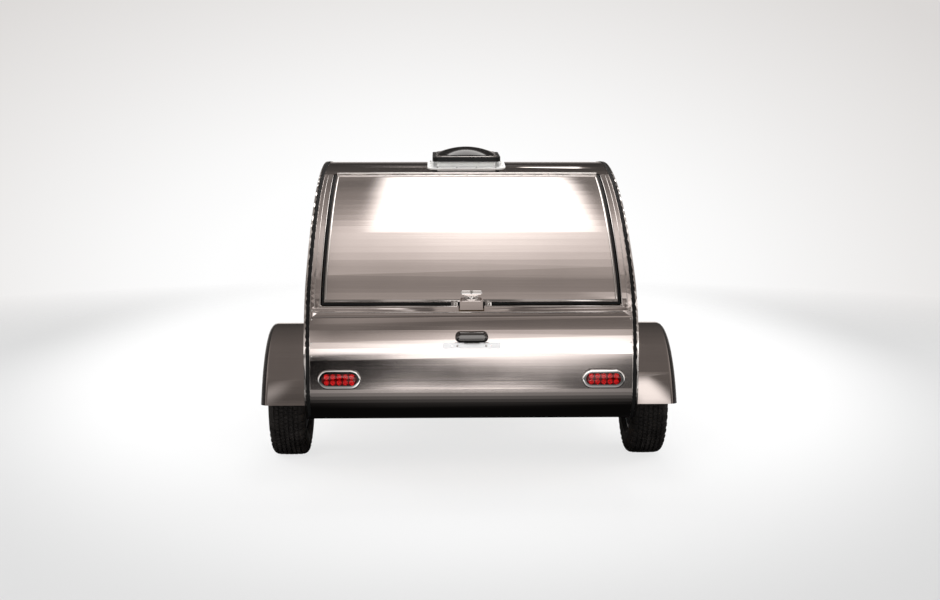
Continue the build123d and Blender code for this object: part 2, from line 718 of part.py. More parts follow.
# Window frame: a flange on the skin and a neck through the door
WINDOW_CLEAR = (WINDOW_WIDTH - 2 * WINDOW_NECK, WINDOW_HEIGHT - 2 * WINDOW_NECK, WINDOW_R - WINDOW_NECK)
with BuildPart() as window:
    with BuildSketch(side_plane(SIDE)):
        with Locations((WINDOW_D, WINDOW_Z)):
            RectangleRounded(
                WINDOW_WIDTH + 2 * WINDOW_FLANGE,
                WINDOW_HEIGHT + 2 * WINDOW_FLANGE,
                WINDOW_R + WINDOW_FLANGE,
            )
    extrude(amount=WINDOW_PROUD)
    with BuildSketch(side_plane(INNER)):
        with Locations((WINDOW_D, WINDOW_Z)):
            RectangleRounded(WINDOW_WIDTH - SEAT, WINDOW_HEIGHT - SEAT, WINDOW_R - SEAT)
    extrude(amount=WALL)
    with BuildSketch(side_plane(INNER)):
        with Locations((WINDOW_D, WINDOW_Z)):
            RectangleRounded(*WINDOW_CLEAR)
    extrude(amount=WALL + WINDOW_PROUD, mode=Mode.SUBTRACT)
save_pair("door_window", window.part)

with BuildPart() as glass:
    with BuildSketch(side_plane(SIDE - WALL / 2)):
        with Locations((WINDOW_D, WINDOW_Z)):
            RectangleRounded(WINDOW_CLEAR[0] - SEAT, WINDOW_CLEAR[1] - SEAT, WINDOW_CLEAR[2] - SEAT / 2)
    extrude(amount=GLASS)
save_pair("door_glass", glass.part)

# Door hinges: the pin stands just outside the trim at the opening's front edge
DOOR_AXIS_D = DOOR_FRONT_D + DOOR_GAP - 1
DOOR_AXIS_X = SIDE + DOOR_TRIM_PROUD + DOOR_KNUCKLE_R + SEAM
DOOR_LEAF_X = SIDE + DOOR_TRIM_PROUD
THIRD = DOOR_LEAF_HEIGHT / 3
with BuildPart() as wall_leaf:
    for hinge_z in DOOR_HINGE_ZS:
        with BuildSketch(level_plane(hinge_z - DOOR_LEAF_HEIGHT / 2)):
            with Locations((DOOR_LEAF_X + DOOR_LEAF / 2, DOOR_AXIS_D + (DOOR_KNUCKLE_R + 1 + DOOR_TRIM) / 2 - 2)):
                Rectangle(DOOR_LEAF, DOOR_TRIM - DOOR_KNUCKLE_R - 5)
        extrude(amount=DOOR_LEAF_HEIGHT)
        with BuildSketch(level_plane(hinge_z - THIRD / 2 + SEAM / 2)):
            with Locations((DOOR_AXIS_X, DOOR_AXIS_D)):
                Circle(DOOR_KNUCKLE_R)
            with Locations((DOOR_LEAF_X + SEAM + DOOR_LEAF / 2, DOOR_AXIS_D + DOOR_KNUCKLE_R)):
                Rectangle(DOOR_LEAF - SEAM, 2 * DOOR_KNUCKLE_R)
        extrude(amount=THIRD - SEAM)
        with BuildSketch(level_plane(hinge_z - DOOR_LEAF_HEIGHT / 2)):
            with Locations((DOOR_AXIS_X, DOOR_AXIS_D)):
                Circle(DOOR_PIN_R)
        extrude(amount=DOOR_LEAF_HEIGHT)
    mirror(about=Plane.YZ)
save("door_hinge_leaves", wall_leaf.part)

# What a door carries: its hinge leaves and its paddle handle
with BuildPart() as fittings:
    for hinge_z in DOOR_HINGE_ZS:
        with BuildSketch(level_plane(hinge_z - DOOR_LEAF_HEIGHT / 2)):
            with Locations((DOOR_LEAF_X + DOOR_LEAF / 2 + SEAT, DOOR_AXIS_D - DOOR_KNUCKLE_R - 1 - DOOR_LEAF_WIDTH / 2)):
                Rectangle(DOOR_LEAF, DOOR_LEAF_WIDTH)
            with Locations((SIDE + DOOR_TRIM_PROUD / 2 + SEAT, DOOR_AXIS_D - DOOR_GAP - 5 - DOOR_LEAF_WIDTH / 2)):
                Rectangle(DOOR_TRIM_PROUD, DOOR_LEAF_WIDTH - 10)
        extrude(amount=DOOR_LEAF_HEIGHT)
        for end in (-1, 1):
            with BuildSketch(level_plane(hinge_z + end * THIRD - THIRD / 2 + SEAM / 2)):
                with Locations((DOOR_AXIS_X, DOOR_AXIS_D)):
                    Circle(DOOR_KNUCKLE_R)
                with Locations((DOOR_LEAF_X + SEAT + DOOR_LEAF / 2, DOOR_AXIS_D - DOOR_KNUCKLE_R)):
                    Rectangle(DOOR_LEAF - SEAM, 2 * DOOR_KNUCKLE_R)
            extrude(amount=THIRD - SEAM)
        with BuildSketch(level_plane(hinge_z - DOOR_LEAF_HEIGHT / 2)):
            with Locations((DOOR_AXIS_X, DOOR_AXIS_D)):
                Circle(DOOR_PIN_R + SEAT)
        extrude(amount=DOOR_LEAF_HEIGHT, mode=Mode.SUBTRACT)
    with BuildSketch(side_plane(SIDE)):
        with Locations((HANDLE_D, HANDLE_Z)):
            RectangleRounded(HANDLE_WIDTH, HANDLE_HEIGHT, HANDLE_R)
    extrude(amount=HANDLE_THICK)
    cup = (
        HANDLE_D + (HANDLE_WIDTH - CUP_WIDTH) / 2 - CUP_EDGE,
        HANDLE_Z + (HANDLE_HEIGHT - CUP_HEIGHT) / 2 - CUP_TOP,
    )
    with BuildSketch(side_plane(SIDE + HANDLE_WEB)):
        with Locations(cup):
            RectangleRounded(CUP_WIDTH, CUP_HEIGHT, CUP_R)
    extrude(amount=HANDLE_THICK, mode=Mode.SUBTRACT)
    with BuildSketch(side_plane(SIDE + HANDLE_WEB)):
        with Locations(cup):
            RectangleRounded(PADDLE_WIDTH, PADDLE_HEIGHT, CUP_R - 2)
    extrude(amount=PADDLE_THICK)
save_pair("door_fittings", fittings.part)

# Chassis: two rails, cross-members and a straight tongue
with BuildPart() as chassis:
    with BuildSketch(level_plane(RAIL_Z)):
        for side in (-1, 1):
            with Locations((side * RAIL_X, (RAIL_START + RAIL_END) / 2)):
                Rectangle(RAIL_WIDTH, RAIL_END - RAIL_START)
        for cross_d in CROSS_DS:
            with Locations((0, cross_d)):
                Rectangle(2 * CROSS_HALF, RAIL_WIDTH)
        tongue_end = BODY_LENGTH + TONGUE_REACH - 2 * (BALL_R + SOCKET_WALL + SOCKET_LIP) - 25
        with Locations((0, (TONGUE_START + tongue_end) / 2)):
            Rectangle(2 * TONGUE_HALF, tongue_end - TONGUE_START)
    extrude(amount=RAIL_HEIGHT)
save("chassis", chassis.part)

# Torsion axle: beam, seat plates, trailing arms and spindles
BEAM_D = AXLE_D + BEAM_AHEAD
BEAM_TOP = RAIL_Z - SEAT_PLATE
BEAM_Z = BEAM_TOP - BEAM / 2
ARM_LENGTH = hypot(BEAM_AHEAD, TYRE_R - BEAM_Z)
ARM_ANGLE = degrees(atan2(TYRE_R - BEAM_Z, -BEAM_AHEAD))
SPINDLE_END = WHEEL_X - SPINDLE_SHORT
with BuildPart() as axle:
    with BuildSketch(side_plane(-BEAM_HALF)):
        with Locations((BEAM_D, BEAM_Z)):
            RectangleRounded(BEAM, BEAM, BEAM_R)
    extrude(amount=2 * BEAM_HALF)
    with BuildSketch(level_plane(BEAM_TOP - 1)):
        with Locations((-RAIL_X, BEAM_D), (RAIL_X, BEAM_D)):
            Rectangle(SEAT_PLATE_WIDTH, SEAT_PLATE_LENGTH)
    extrude(amount=SEAT_PLATE + 1)
    with BuildSketch(side_plane(BEAM_HALF)):
        with Locations(((BEAM_D + AXLE_D) / 2, (BEAM_Z + TYRE_R) / 2)):
            SlotCenterToCenter(ARM_LENGTH, ARM_WIDTH, rotation=ARM_ANGLE)
    extrude(amount=ARM_THICK)
    with BuildSketch(side_plane(BEAM_HALF + ARM_THICK)):
        with Locations((AXLE_D, TYRE_R)):
            Circle(SPINDLE_R)
    extrude(amount=SPINDLE_END - BEAM_HALF - ARM_THICK)
    mirror(about=Plane.YZ)
save("axle", axle.part)

# Each wheel turns about this line
WHEEL_AXIS = Axis((0, TAIL_Y + AXLE_D, TYRE_R), (1, 0, 0))


def wheel_sketch_plane():
    """Plane through the wheel's centre: its own x runs outwards along the spindle, its own y is the radius."""
    return Plane(origin=(WHEEL_X, TAIL_Y + AXLE_D, TYRE_R), x_dir=(1, 0, 0), z_dir=(0, -1, 0))


# Hub: brake drum, mounting flange, pilot and dust cap
DRUM_IN = BEAM_HALF + ARM_THICK + DRUM_BACK - WHEEL_X
BORE_END = SPINDLE_END + 2 - WHEEL_X
with BuildPart() as hub:
    with BuildSketch(wheel_sketch_plane()):
        polygon(
            (
                (DRUM_IN, SPINDLE_R + HUB_CLEAR),
                (DRUM_IN, DRUM_R),
                (DRUM_IN + DRUM_WIDTH, DRUM_R),
                (DRUM_IN + DRUM_WIDTH + DRUM_CHAMFER, DRUM_R - DRUM_CHAMFER),
                (DRUM_IN + DRUM_WIDTH + DRUM_CHAMFER, HUB_BARREL_R),
                (-HUB_FLANGE, HUB_BARREL_R),
                (-HUB_FLANGE, HUB_FLANGE_R),
                (0, HUB_FLANGE_R),
                (0, PILOT_R),
                (PILOT_LENGTH, PILOT_R),
                (PILOT_LENGTH + PILOT_NOSE, PILOT_NOSE_R),
                (PILOT_LENGTH + PILOT_NOSE, 0),
                (BORE_END, 0),
                (BORE_END, SPINDLE_R + HUB_CLEAR),
            )
        )
    revolve(axis=WHEEL_AXIS)
save_pair("hub", hub.part)

# Rim: a drop-centre barrel and a dished disc with round holes
BEAD_HALF = RIM_HALF - RIM_WALL
with BuildPart() as rim:
    with BuildSketch(wheel_sketch_plane()):
        polygon(
            (
                (-RIM_HALF, RIM_R + RIM_FLANGE),
                (-BEAD_HALF, RIM_R + RIM_FLANGE),
                (-BEAD_HALF, RIM_R),
                (-BEAD_HALF + 26, RIM_R - 2),
                (-RIM_HALF * 0.4, RIM_R - RIM_DROP),
                (RIM_HALF * 0.4, RIM_R - RIM_DROP),
                (BEAD_HALF - 26, RIM_R - 2),
                (BEAD_HALF, RIM_R),
                (BEAD_HALF, RIM_R + RIM_FLANGE),
                (RIM_HALF, RIM_R + RIM_FLANGE),
                (RIM_HALF, RIM_R - RIM_WALL),
                (BEAD_HALF - 28, RIM_R - RIM_WALL - 2),
                (RIM_HALF * 0.4 + 2, RIM_R - RIM_DROP - RIM_WALL),
                (-RIM_HALF * 0.4 - 2, RIM_R - RIM_DROP - RIM_WALL),
                (-BEAD_HALF + 28, RIM_R - RIM_WALL - 2),
                (-RIM_HALF, RIM_R - RIM_WALL),
            )
        )
        polygon(
            (
                (14, RIM_R - RIM_DROP - 1),
                (14 + DISC_THICK, RIM_R - RIM_DROP - 1),
                (DISC_DISH + DISC_THICK, 112),
                (DISC_DISH + DISC_THICK, 104),
                (DISC_THICK, 80),
                (DISC_THICK, PILOT_R + SEAT),
                (0, PILOT_R + SEAT),
                (0, 82),
                (DISC_DISH, 106),
                (DISC_DISH, 110),
            )
        )
    revolve(axis=WHEEL_AXIS)
    with BuildSketch(side_plane(WHEEL_X + 4)):
        with Locations((AXLE_D, TYRE_R)):
            with PolarLocations(DISC_HOLE_PCR, DISC_HOLES):
                Circle(DISC_HOLE_R)
    extrude(amount=DISC_DISH + 2 * DISC_THICK, mode=Mode.SUBTRACT)
save_pair("rim", rim.part)

# Tyre: a casing whose beads sit between the rim's flanges
TREAD_HALF = 0.31 * TYRE_WIDTH
with BuildPart() as tyre:
    with BuildSketch(wheel_sketch_plane()):
        with BuildLine():
            Line((-TREAD_HALF, TYRE_R - 2), (0, TYRE_R))
            Line((0, TYRE_R), (TREAD_HALF, TYRE_R - 2))
            ThreePointArc((TREAD_HALF, TYRE_R - 2), (TREAD_HALF + 15, TYRE_R - 8), (TREAD_HALF + 24, TYRE_R - 20))
            ThreePointArc(
                (TREAD_HALF + 24, TYRE_R - 20), (TYRE_WIDTH / 2, TYRE_R - 68), (RIM_HALF + 6, RIM_R + RIM_FLANGE + 4)
            )
            Line((RIM_HALF + 6, RIM_R + RIM_FLANGE + 4), (BEAD_HALF - SEAT, RIM_R + RIM_FLANGE + 1))
            Line((BEAD_HALF - SEAT, RIM_R + RIM_FLANGE + 1), (BEAD_HALF - SEAT, RIM_R + SEAT))
            Line((BEAD_HALF - SEAT, RIM_R + SEAT), (BEAD_HALF - BEAD_WIDTH, RIM_R + SEAT))
            Line((BEAD_HALF - BEAD_WIDTH, RIM_R + SEAT), (BEAD_HALF - BEAD_WIDTH, RIM_R + RIM_FLANGE + 6))
            ThreePointArc(
                (BEAD_HALF - BEAD_WIDTH, RIM_R + RIM_FLANGE + 6),
                (TYRE_WIDTH / 2 - TYRE_WALL, TYRE_R - 68),
                (TREAD_HALF + 6, TYRE_R - TYRE_WALL - 10),
            )
            Line((TREAD_HALF + 6, TYRE_R - TYRE_WALL - 10), (0, TYRE_R - TYRE_WALL - 6))
            Line((0, TYRE_R - TYRE_WALL - 6), (-TREAD_HALF - 6, TYRE_R - TYRE_WALL - 10))
            ThreePointArc(
                (-TREAD_HALF - 6, TYRE_R - TYRE_WALL - 10),
                (TYRE_WALL - TYRE_WIDTH / 2, TYRE_R - 68),
                (BEAD_WIDTH - BEAD_HALF, RIM_R + RIM_FLANGE + 6),
            )
            Line((BEAD_WIDTH - BEAD_HALF, RIM_R + RIM_FLANGE + 6), (BEAD_WIDTH - BEAD_HALF, RIM_R + SEAT))
            Line((BEAD_WIDTH - BEAD_HALF, RIM_R + SEAT), (SEAT - BEAD_HALF, RIM_R + SEAT))
            Line((SEAT - BEAD_HALF, RIM_R + SEAT), (SEAT - BEAD_HALF, RIM_R + RIM_FLANGE + 1))
            Line((SEAT - BEAD_HALF, RIM_R + RIM_FLANGE + 1), (-RIM_HALF - 6, RIM_R + RIM_FLANGE + 4))
            ThreePointArc(
                (-RIM_HALF - 6, RIM_R + RIM_FLANGE + 4), (-TYRE_WIDTH / 2, TYRE_R - 68), (-TREAD_HALF - 24, TYRE_R - 20)
            )
            ThreePointArc((-TREAD_HALF - 24, TYRE_R - 20), (-TREAD_HALF - 15, TYRE_R - 8), (-TREAD_HALF, TYRE_R - 2))
        make_face()
    revolve(axis=WHEEL_AXIS)
save_pair("tyre", tyre.part)

# Fender: a rolled band with a rounded outer corner and a skirt, cut level at its foot
FENDER_CENTRE_Z = FENDER_CREST_Z - FENDER_R
FENDER_AXIS = Axis((0, TAIL_Y + AXLE_D, FENDER_CENTRE_Z), (1, 0, 0))
FENDER_PLANE = Plane(origin=(0, TAIL_Y + AXLE_D, FENDER_CENTRE_Z), x_dir=(1, 0, 0), z_dir=(0, -1, 0))
with BuildPart() as fender:
    with BuildSketch(FENDER_PLANE):
        for inset, mode in ((0.0, Mode.ADD), (FENDER_WALL, Mode.SUBTRACT)):
            corner_r = FENDER_CORNER_R - inset
            with BuildLine():
                Line((SIDE, FENDER_R - FENDER_SKIRT), (SIDE, FENDER_R - inset))
                Line((SIDE, FENDER_R - inset), (FENDER_X - FENDER_CORNER_R, FENDER_R - inset))
                CenterArc((FENDER_X - FENDER_CORNER_R, FENDER_R - FENDER_CORNER_R), corner_r, 90, -90)
                Line((FENDER_X - inset, FENDER_R - FENDER_CORNER_R), (FENDER_X - inset, FENDER_R - FENDER_SKIRT))
                Line((FENDER_X - inset, FENDER_R - FENDER_SKIRT), (SIDE, FENDER_R - FENDER_SKIRT))
            make_face(mode=mode)
    revolve(axis=FENDER_AXIS)
    with BuildSketch(side_plane(SIDE)):
        with Locations((AXLE_D, FENDER_BOTTOM_Z + FENDER_R)):
            Rectangle(3 * FENDER_R, 2 * FENDER_R)
    extrude(amount=FENDER_X - SIDE, mode=Mode.INTERSECT)
save_pair("fender", fender.part)

# Coupler: a channel over the tongue's end, a neck, and a round socket with a flared lip
BALL_D = BODY_LENGTH + TONGUE_REACH - BALL_R - SOCKET_WALL - SOCKET_LIP
SOCKET_LOW = BALL_Z - SOCKET_SKIRT
SOCKET_OUT = BALL_R + SOCKET_WALL
CHANNEL_HALF = TONGUE_HALF + SEAT + COUPLER_WALL
CHANNEL_TOP = BODY_Z + SEAT + COUPLER_WALL
CHANNEL_END = BALL_D - SOCKET_OUT - SOCKET_LIP - 10
with BuildPart() as coupler:
    with BuildSketch(level_plane(RAIL_Z + 12)):
        with Locations((0, CHANNEL_END - COUPLER_LENGTH / 2)):
            Rectangle(2 * CHANNEL_HALF, COUPLER_LENGTH)
    extrude(amount=CHANNEL_TOP - RAIL_Z - 12)
    with BuildSketch(level_plane(RAIL_Z)):
        with Locations((0, CHANNEL_END - COUPLER_LENGTH / 2 - COUPLER_WALL)):
            Rectangle(2 * (TONGUE_HALF + SEAT), COUPLER_LENGTH + SEAT)
    extrude(amount=RAIL_HEIGHT + SEAT, mode=Mode.SUBTRACT)
    with BuildSketch(rear_plane(CHANNEL_END - 30)):
        with Locations((0, (SOCKET_LOW + 6 + CHANNEL_TOP) / 2)):
            Rectangle(2 * CHANNEL_HALF - 8, CHANNEL_TOP - SOCKET_LOW - 6)
    with BuildSketch(rear_plane(BALL_D - 10)):
        with Locations((0, BALL_Z + 4)):
            Rectangle(2 * SOCKET_OUT - 8, 2 * SOCKET_SKIRT)
    loft()
    with BuildSketch(level_plane(RAIL_Z)):
        with Locations((0, (CHANNEL_END - COUPLER_WALL) / 2)):
            Rectangle(2 * (TONGUE_HALF + SEAT), CHANNEL_END - COUPLER_WALL)
    extrude(amount=RAIL_HEIGHT + SEAT, mode=Mode.SUBTRACT)
    with BuildSketch(Plane(origin=(0, TAIL_Y + BALL_D, 0), x_dir=(0, 1, 0), z_dir=(1, 0, 0))):
        with BuildLine():
            Line((0, SOCKET_LOW), (SOCKET_OUT + SOCKET_LIP, SOCKET_LOW))
            Line((SOCKET_OUT + SOCKET_LIP, SOCKET_LOW), (SOCKET_OUT + SOCKET_LIP, SOCKET_LOW + SOCKET_WALL))
            Line((SOCKET_OUT + SOCKET_LIP, SOCKET_LOW + SOCKET_WALL), (SOCKET_OUT, SOCKET_LOW + SOCKET_WALL))
            Line((SOCKET_OUT, SOCKET_LOW + SOCKET_WALL), (SOCKET_OUT, BALL_Z))
            CenterArc((0, BALL_Z), SOCKET_OUT, 0, 90)
            Line((0, BALL_Z + SOCKET_OUT), (0, SOCKET_LOW))
        make_face()
    revolve(axis=Axis((0, TAIL_Y + BALL_D, 0), (0, 0, 1)))
    with BuildSketch(level_plane(SOCKET_LOW)):
        with Locations((0, BALL_D)):
            Circle(BALL_R)
    extrude(amount=SOCKET_SKIRT, mode=Mode.SUBTRACT)
    with Locations((0, TAIL_Y + BALL_D, BALL_Z)):
        Sphere(BALL_R, mode=Mode.SUBTRACT)
    with BuildSketch(side_plane(-LEVER_HALF)):
        polygon(
            (
                (BALL_D - 150, CHANNEL_TOP - 1),
                (BALL_D - 110, CHANNEL_TOP - 1),
                (BALL_D - 60, BALL_Z + SOCKET_OUT - 12),
                (BALL_D - 20, BALL_Z + SOCKET_OUT - 8),
                (BALL_D - 20, BALL_Z + SOCKET_OUT + 4),
                (BALL_D - 70, BALL_Z + SOCKET_OUT + 6),
                (BALL_D - 150, CHANNEL_TOP + 16),
            )
        )
    extrude(amount=2 * LEVER_HALF)
save("coupler", coupler.part)

# Jack bracket: a plate on the tongue's side and the swivel pin
JACK_Z = BODY_Z - RAIL_HEIGHT / 2
PIN_END = JACK_X + JACK_TUBE_R + 4
with BuildPart() as jack_bracket:
    with BuildSketch(side_plane(-TONGUE_HALF - JACK_PLATE)):
        with Locations((JACK_D, JACK_Z)):
            RectangleRounded(JACK_PLATE_WIDTH, RAIL_HEIGHT, JACK_PLATE_R)
    extrude(amount=JACK_PLATE)
    with BuildSketch(side_plane(-TONGUE_HALF - JACK_PLATE - JACK_BOSS)):
        with Locations((JACK_D, JACK_Z)):
            Circle(JACK_HUB_R)
    extrude(amount=JACK_BOSS)
    with BuildSketch(side_plane(PIN_END)):
        with Locations((JACK_D, JACK_Z)):
            Circle(JACK_PIN_R)
    extrude(amount=-TONGUE_HALF - PIN_END)
save("jack_bracket", jack_bracket.part)

# Jack's outer tube with its swivel hub, gear head and crank
HUB_START = -TONGUE_HALF - JACK_PLATE - JACK_BOSS - JACK_SWIVEL_GAP
with BuildPart() as jack_tube:
    with BuildSketch(level_plane(JACK_TUBE_LOW)):
        with Locations((JACK_X, JACK_D)):
            Circle(JACK_TUBE_R)
    extrude(amount=JACK_TUBE_TOP - JACK_TUBE_LOW)
    with BuildSketch(side_plane(HUB_START)):
        with Locations((JACK_D, JACK_Z)):
            Circle(JACK_HUB_R)
    extrude(amount=JACK_X - HUB_START)
    with BuildSketch(level_plane(JACK_TUBE_TOP)):
        with Locations((JACK_X, JACK_D)):
            Circle(JACK_TUBE_R + JACK_HEAD_RIM)
    extrude(amount=JACK_HEAD, taper=10)
    with BuildSketch(level_plane(JACK_TUBE_TOP)):
        with Locations((JACK_X, JACK_D)):
            Circle(JACK_SHAFT_R)
    extrude(amount=CRANK_UP + CRANK_THICK)
    with BuildSketch(level_plane(JACK_TUBE_TOP + CRANK_UP)):
        with Locations((JACK_X, JACK_D + CRANK_REACH / 2)):
            SlotCenterToCenter(CRANK_REACH, CRANK_WIDTH, rotation=90)
    extrude(amount=CRANK_THICK)
    with BuildSketch(level_plane(JACK_TUBE_TOP + CRANK_UP + CRANK_THICK / 2)):
        with Locations((JACK_X, JACK_D + CRANK_REACH)):
            Circle(CRANK_GRIP_R)
    extrude(amount=CRANK_GRIP)
    with BuildSketch(level_plane(JACK_TUBE_LOW)):
        with Locations((JACK_X, JACK_D)):
            Circle(JACK_BORE_R)
    extrude(amount=JACK_LEG_TOP + JACK_TRAVEL + JACK_HEAD_RIM - JACK_TUBE_LOW, mode=Mode.SUBTRACT)
    with BuildSketch(side_plane(HUB_START)):
        with Locations((JACK_D, JACK_Z)):
            Circle(JACK_PIN_R + SEAT)
    extrude(amount=PIN_END - SEAM - HUB_START, mode=Mode.SUBTRACT)
save("jack_tube", jack_tube.part)

with BuildPart() as jack_leg:
    with BuildSketch(level_plane(0)):
        with Locations((JACK_X, JACK_D)):
            Circle(JACK_FOOT_R)
    extrude(amount=JACK_FOOT)
    with BuildSketch(level_plane(JACK_FOOT)):
        with Locations((JACK_X, JACK_D)):
            Circle(JACK_LEG_R + JACK_FOOT_COLLAR)
    extrude(amount=JACK_FOOT_COLLAR / 2, taper=45)
    with BuildSketch(level_plane(JACK_FOOT)):
        with Locations((JACK_X, JACK_D)):
            Circle(JACK_LEG_R)
    extrude(amount=JACK_LEG_TOP - JACK_FOOT)
save("jack_leg", jack_leg.part)

# Licence lamp: a rounded hood that seats on the curved tail
with BuildPart() as licence:
    with BuildSketch(rear_plane(-LAMP_REACH)):
        with Locations((0, LAMP_Z)):
            SlotOverall(LAMP_WIDTH, LAMP_HEIGHT)
    extrude(amount=-LAMP_REACH - TAIL_LOW_R / 4)
    fillet(licence.faces().sort_by(Axis.Y)[0].edges(), LAMP_HEIGHT / 3)
    with BuildSketch(side_plane(-LAMP_WIDTH)):
        teardrop(-SEAT)
    extrude(amount=2 * LAMP_WIDTH, mode=Mode.SUBTRACT)
save("licence_lamp", licence.part)

# Bracket that a number plate bolts to
with BuildPart() as bracket:
    with BuildSketch(rear_plane(-BRACKET_OUT)):
        with Locations((0, BRACKET_Z)):
            RectangleRounded(BRACKET_WIDTH, BRACKET_HEIGHT, BRACKET_R)
    extrude(amount=-BRACKET_THICK)
    with BuildSketch(rear_plane(-BRACKET_OUT)):
        with Locations((-BRACKET_WIDTH / 4, BRACKET_Z), (BRACKET_WIDTH / 4, BRACKET_Z)):
            Rectangle(BRACKET_LEG, BRACKET_HEIGHT)
    extrude(amount=-BRACKET_OUT - TAIL_LOW_R / 8)
    with BuildSketch(side_plane(-BRACKET_WIDTH)):
        teardrop(-SEAT)
    extrude(amount=2 * BRACKET_WIDTH, mode=Mode.SUBTRACT)
    with BuildSketch(rear_plane(-BRACKET_OUT)):
        with Locations((-PLATE_SPACING / 2, BRACKET_Z), (PLATE_SPACING / 2, BRACKET_Z)):
            Circle(PLATE_HOLE_R)
    extrude(amount=-BRACKET_THICK, mode=Mode.SUBTRACT)
save("plate_bracket", bracket.part)

# Oval tail lamps: bright bezels and domed lenses
with BuildPart() as bezels:
    with BuildSketch(rear_plane(-SEAT)):
        with Locations((TAIL_LAMP_X, TAIL_LAMP_Z)):
            SlotOverall(BEZEL_WIDTH, BEZEL_HEIGHT)
    extrude(amount=BEZEL_DEPTH)
    fillet(bezels.faces().sort_by(Axis.Y)[0].edges(), BEZEL_DEPTH / 2)
    with BuildSketch(rear_plane(0)):
        with Locations((TAIL_LAMP_X, TAIL_LAMP_Z)):
            SlotOverall(LENS_WIDTH + 2 * SEAT, LENS_HEIGHT + 2 * SEAT)
    extrude(amount=2 * BEZEL_DEPTH, mode=Mode.SUBTRACT)
    mirror(about=Plane.YZ)
save("tail_lamp_bezels", bezels.part)

with BuildPart() as lenses:
    with BuildSketch(rear_plane(-SEAT)):
        with Locations((TAIL_LAMP_X, TAIL_LAMP_Z)):
            SlotOverall(LENS_WIDTH, LENS_HEIGHT)
    extrude(amount=LENS_DEPTH)
    fillet(lenses.faces().sort_by(Axis.Y)[0].edges(), LENS_DEPTH / 3)
    mirror(about=Plane.YZ)
save("tail_lamp_lenses", lenses.part)

# Roof vent: a flange that follows the roof, a square curb through it and posts that carry the lid's pins
LID_AXIS_Y = LID / 2 + LID_HINGE_AHEAD


def vent_side_plane(x):
    """Plane across the vent: its own x runs forwards along the roof, its own y is the height over the roof."""
    origin = VENT_PLANE.from_local_coords((x, 0, 0))
    return Plane(origin=origin, x_dir=VENT_PLANE.y_dir, z_dir=(1, 0, 0))


with BuildPart() as vent:
    with BuildSketch(VENT_PLANE.offset(-2 * WALL)):
        RectangleRounded(VENT_FLANGE, VENT_FLANGE, VENT_FLANGE_R)
    extrude(amount=4 * WALL)
    with BuildSketch(side_plane(-VENT_FLANGE)):
        teardrop(-SEAT - VENT_FLANGE_THICK)
        teardrop(-SEAT, Mode.SUBTRACT)
    extrude(amount=2 * VENT_FLANGE, mode=Mode.INTERSECT)
    for x in (-EAR_X - EAR_GAP - POST_WIDTH, EAR_X + EAR_GAP):
        with BuildSketch(vent_side_plane(x)):
            with Locations((LID_AXIS_Y, LID_HINGE_UP)):
                Circle(EAR_R)
            with Locations((LID_AXIS_Y, (LID_HINGE_UP - POST_FOOT) / 2)):
                Rectangle(2 * EAR_R, LID_HINGE_UP + POST_FOOT)
        extrude(amount=POST_WIDTH)
    for x in (-EAR_X - EAR_GAP - 1, EAR_X - EAR_WIDTH - 1):
        with BuildSketch(vent_side_plane(x)):
            with Locations((LID_AXIS_Y, LID_HINGE_UP)):
                Circle(EAR_PIN_R)
        extrude(amount=EAR_WIDTH + EAR_GAP + 2)
    with BuildSketch(VENT_PLANE.offset(-WALL - CURB_BELOW)):
        RectangleRounded(CURB, CURB, CURB_R)
    extrude(amount=WALL + CURB_BELOW + CURB_TOP)
    with BuildSketch(VENT_PLANE.offset(-2 * WALL)):
        RectangleRounded(CURB - 2 * CURB_WALL, CURB - 2 * CURB_WALL, CURB_R - CURB_WALL)
    extrude(amount=4 * WALL, mode=Mode.SUBTRACT)
save("vent_base", vent.part)

# Vent lid: a dark band round the curb with two ears on the pins, under a domed top
with BuildPart() as lid:
    with BuildSketch(VENT_PLANE.offset(LID_LOW)):
        RectangleRounded(LID, LID, LID_R)
    extrude(amount=LID_TOP - LID_LOW)
    for x in (-EAR_X, EAR_X - EAR_WIDTH):
        with BuildSketch(vent_side_plane(x)):
            with Locations((LID_AXIS_Y, LID_HINGE_UP)):
                Circle(EAR_R)
            with Locations((LID_AXIS_Y - LID_HINGE_AHEAD / 2 - 1, LID_HINGE_UP)):
                Rectangle(LID_HINGE_AHEAD + 2, 2 * EAR_R - 2)
        extrude(amount=EAR_WIDTH)
        with BuildSketch(vent_side_plane(x)):
            with Locations((LID_AXIS_Y, LID_HINGE_UP)):
                Circle(EAR_PIN_R + SEAT)
        extrude(amount=EAR_WIDTH, mode=Mode.SUBTRACT)
    with BuildSketch(VENT_PLANE.offset(LID_LOW)):
        RectangleRounded(LID - 2 * LID_WALL, LID - 2 * LID_WALL, LID_R - LID_WALL)
    extrude(amount=LID_TOP - LID_LOW - LID_WALL, mode=Mode.SUBTRACT)
    with BuildSketch(VENT_PLANE.offset(LID_LOW)):
        RectangleRounded(DOME - 2 * DOME_LEDGE, DOME - 2 * DOME_LEDGE, DOME_R - DOME_LEDGE)
    extrude(amount=LID_TOP - LID_LOW, mode=Mode.SUBTRACT)
save("vent_lid", lid.part)

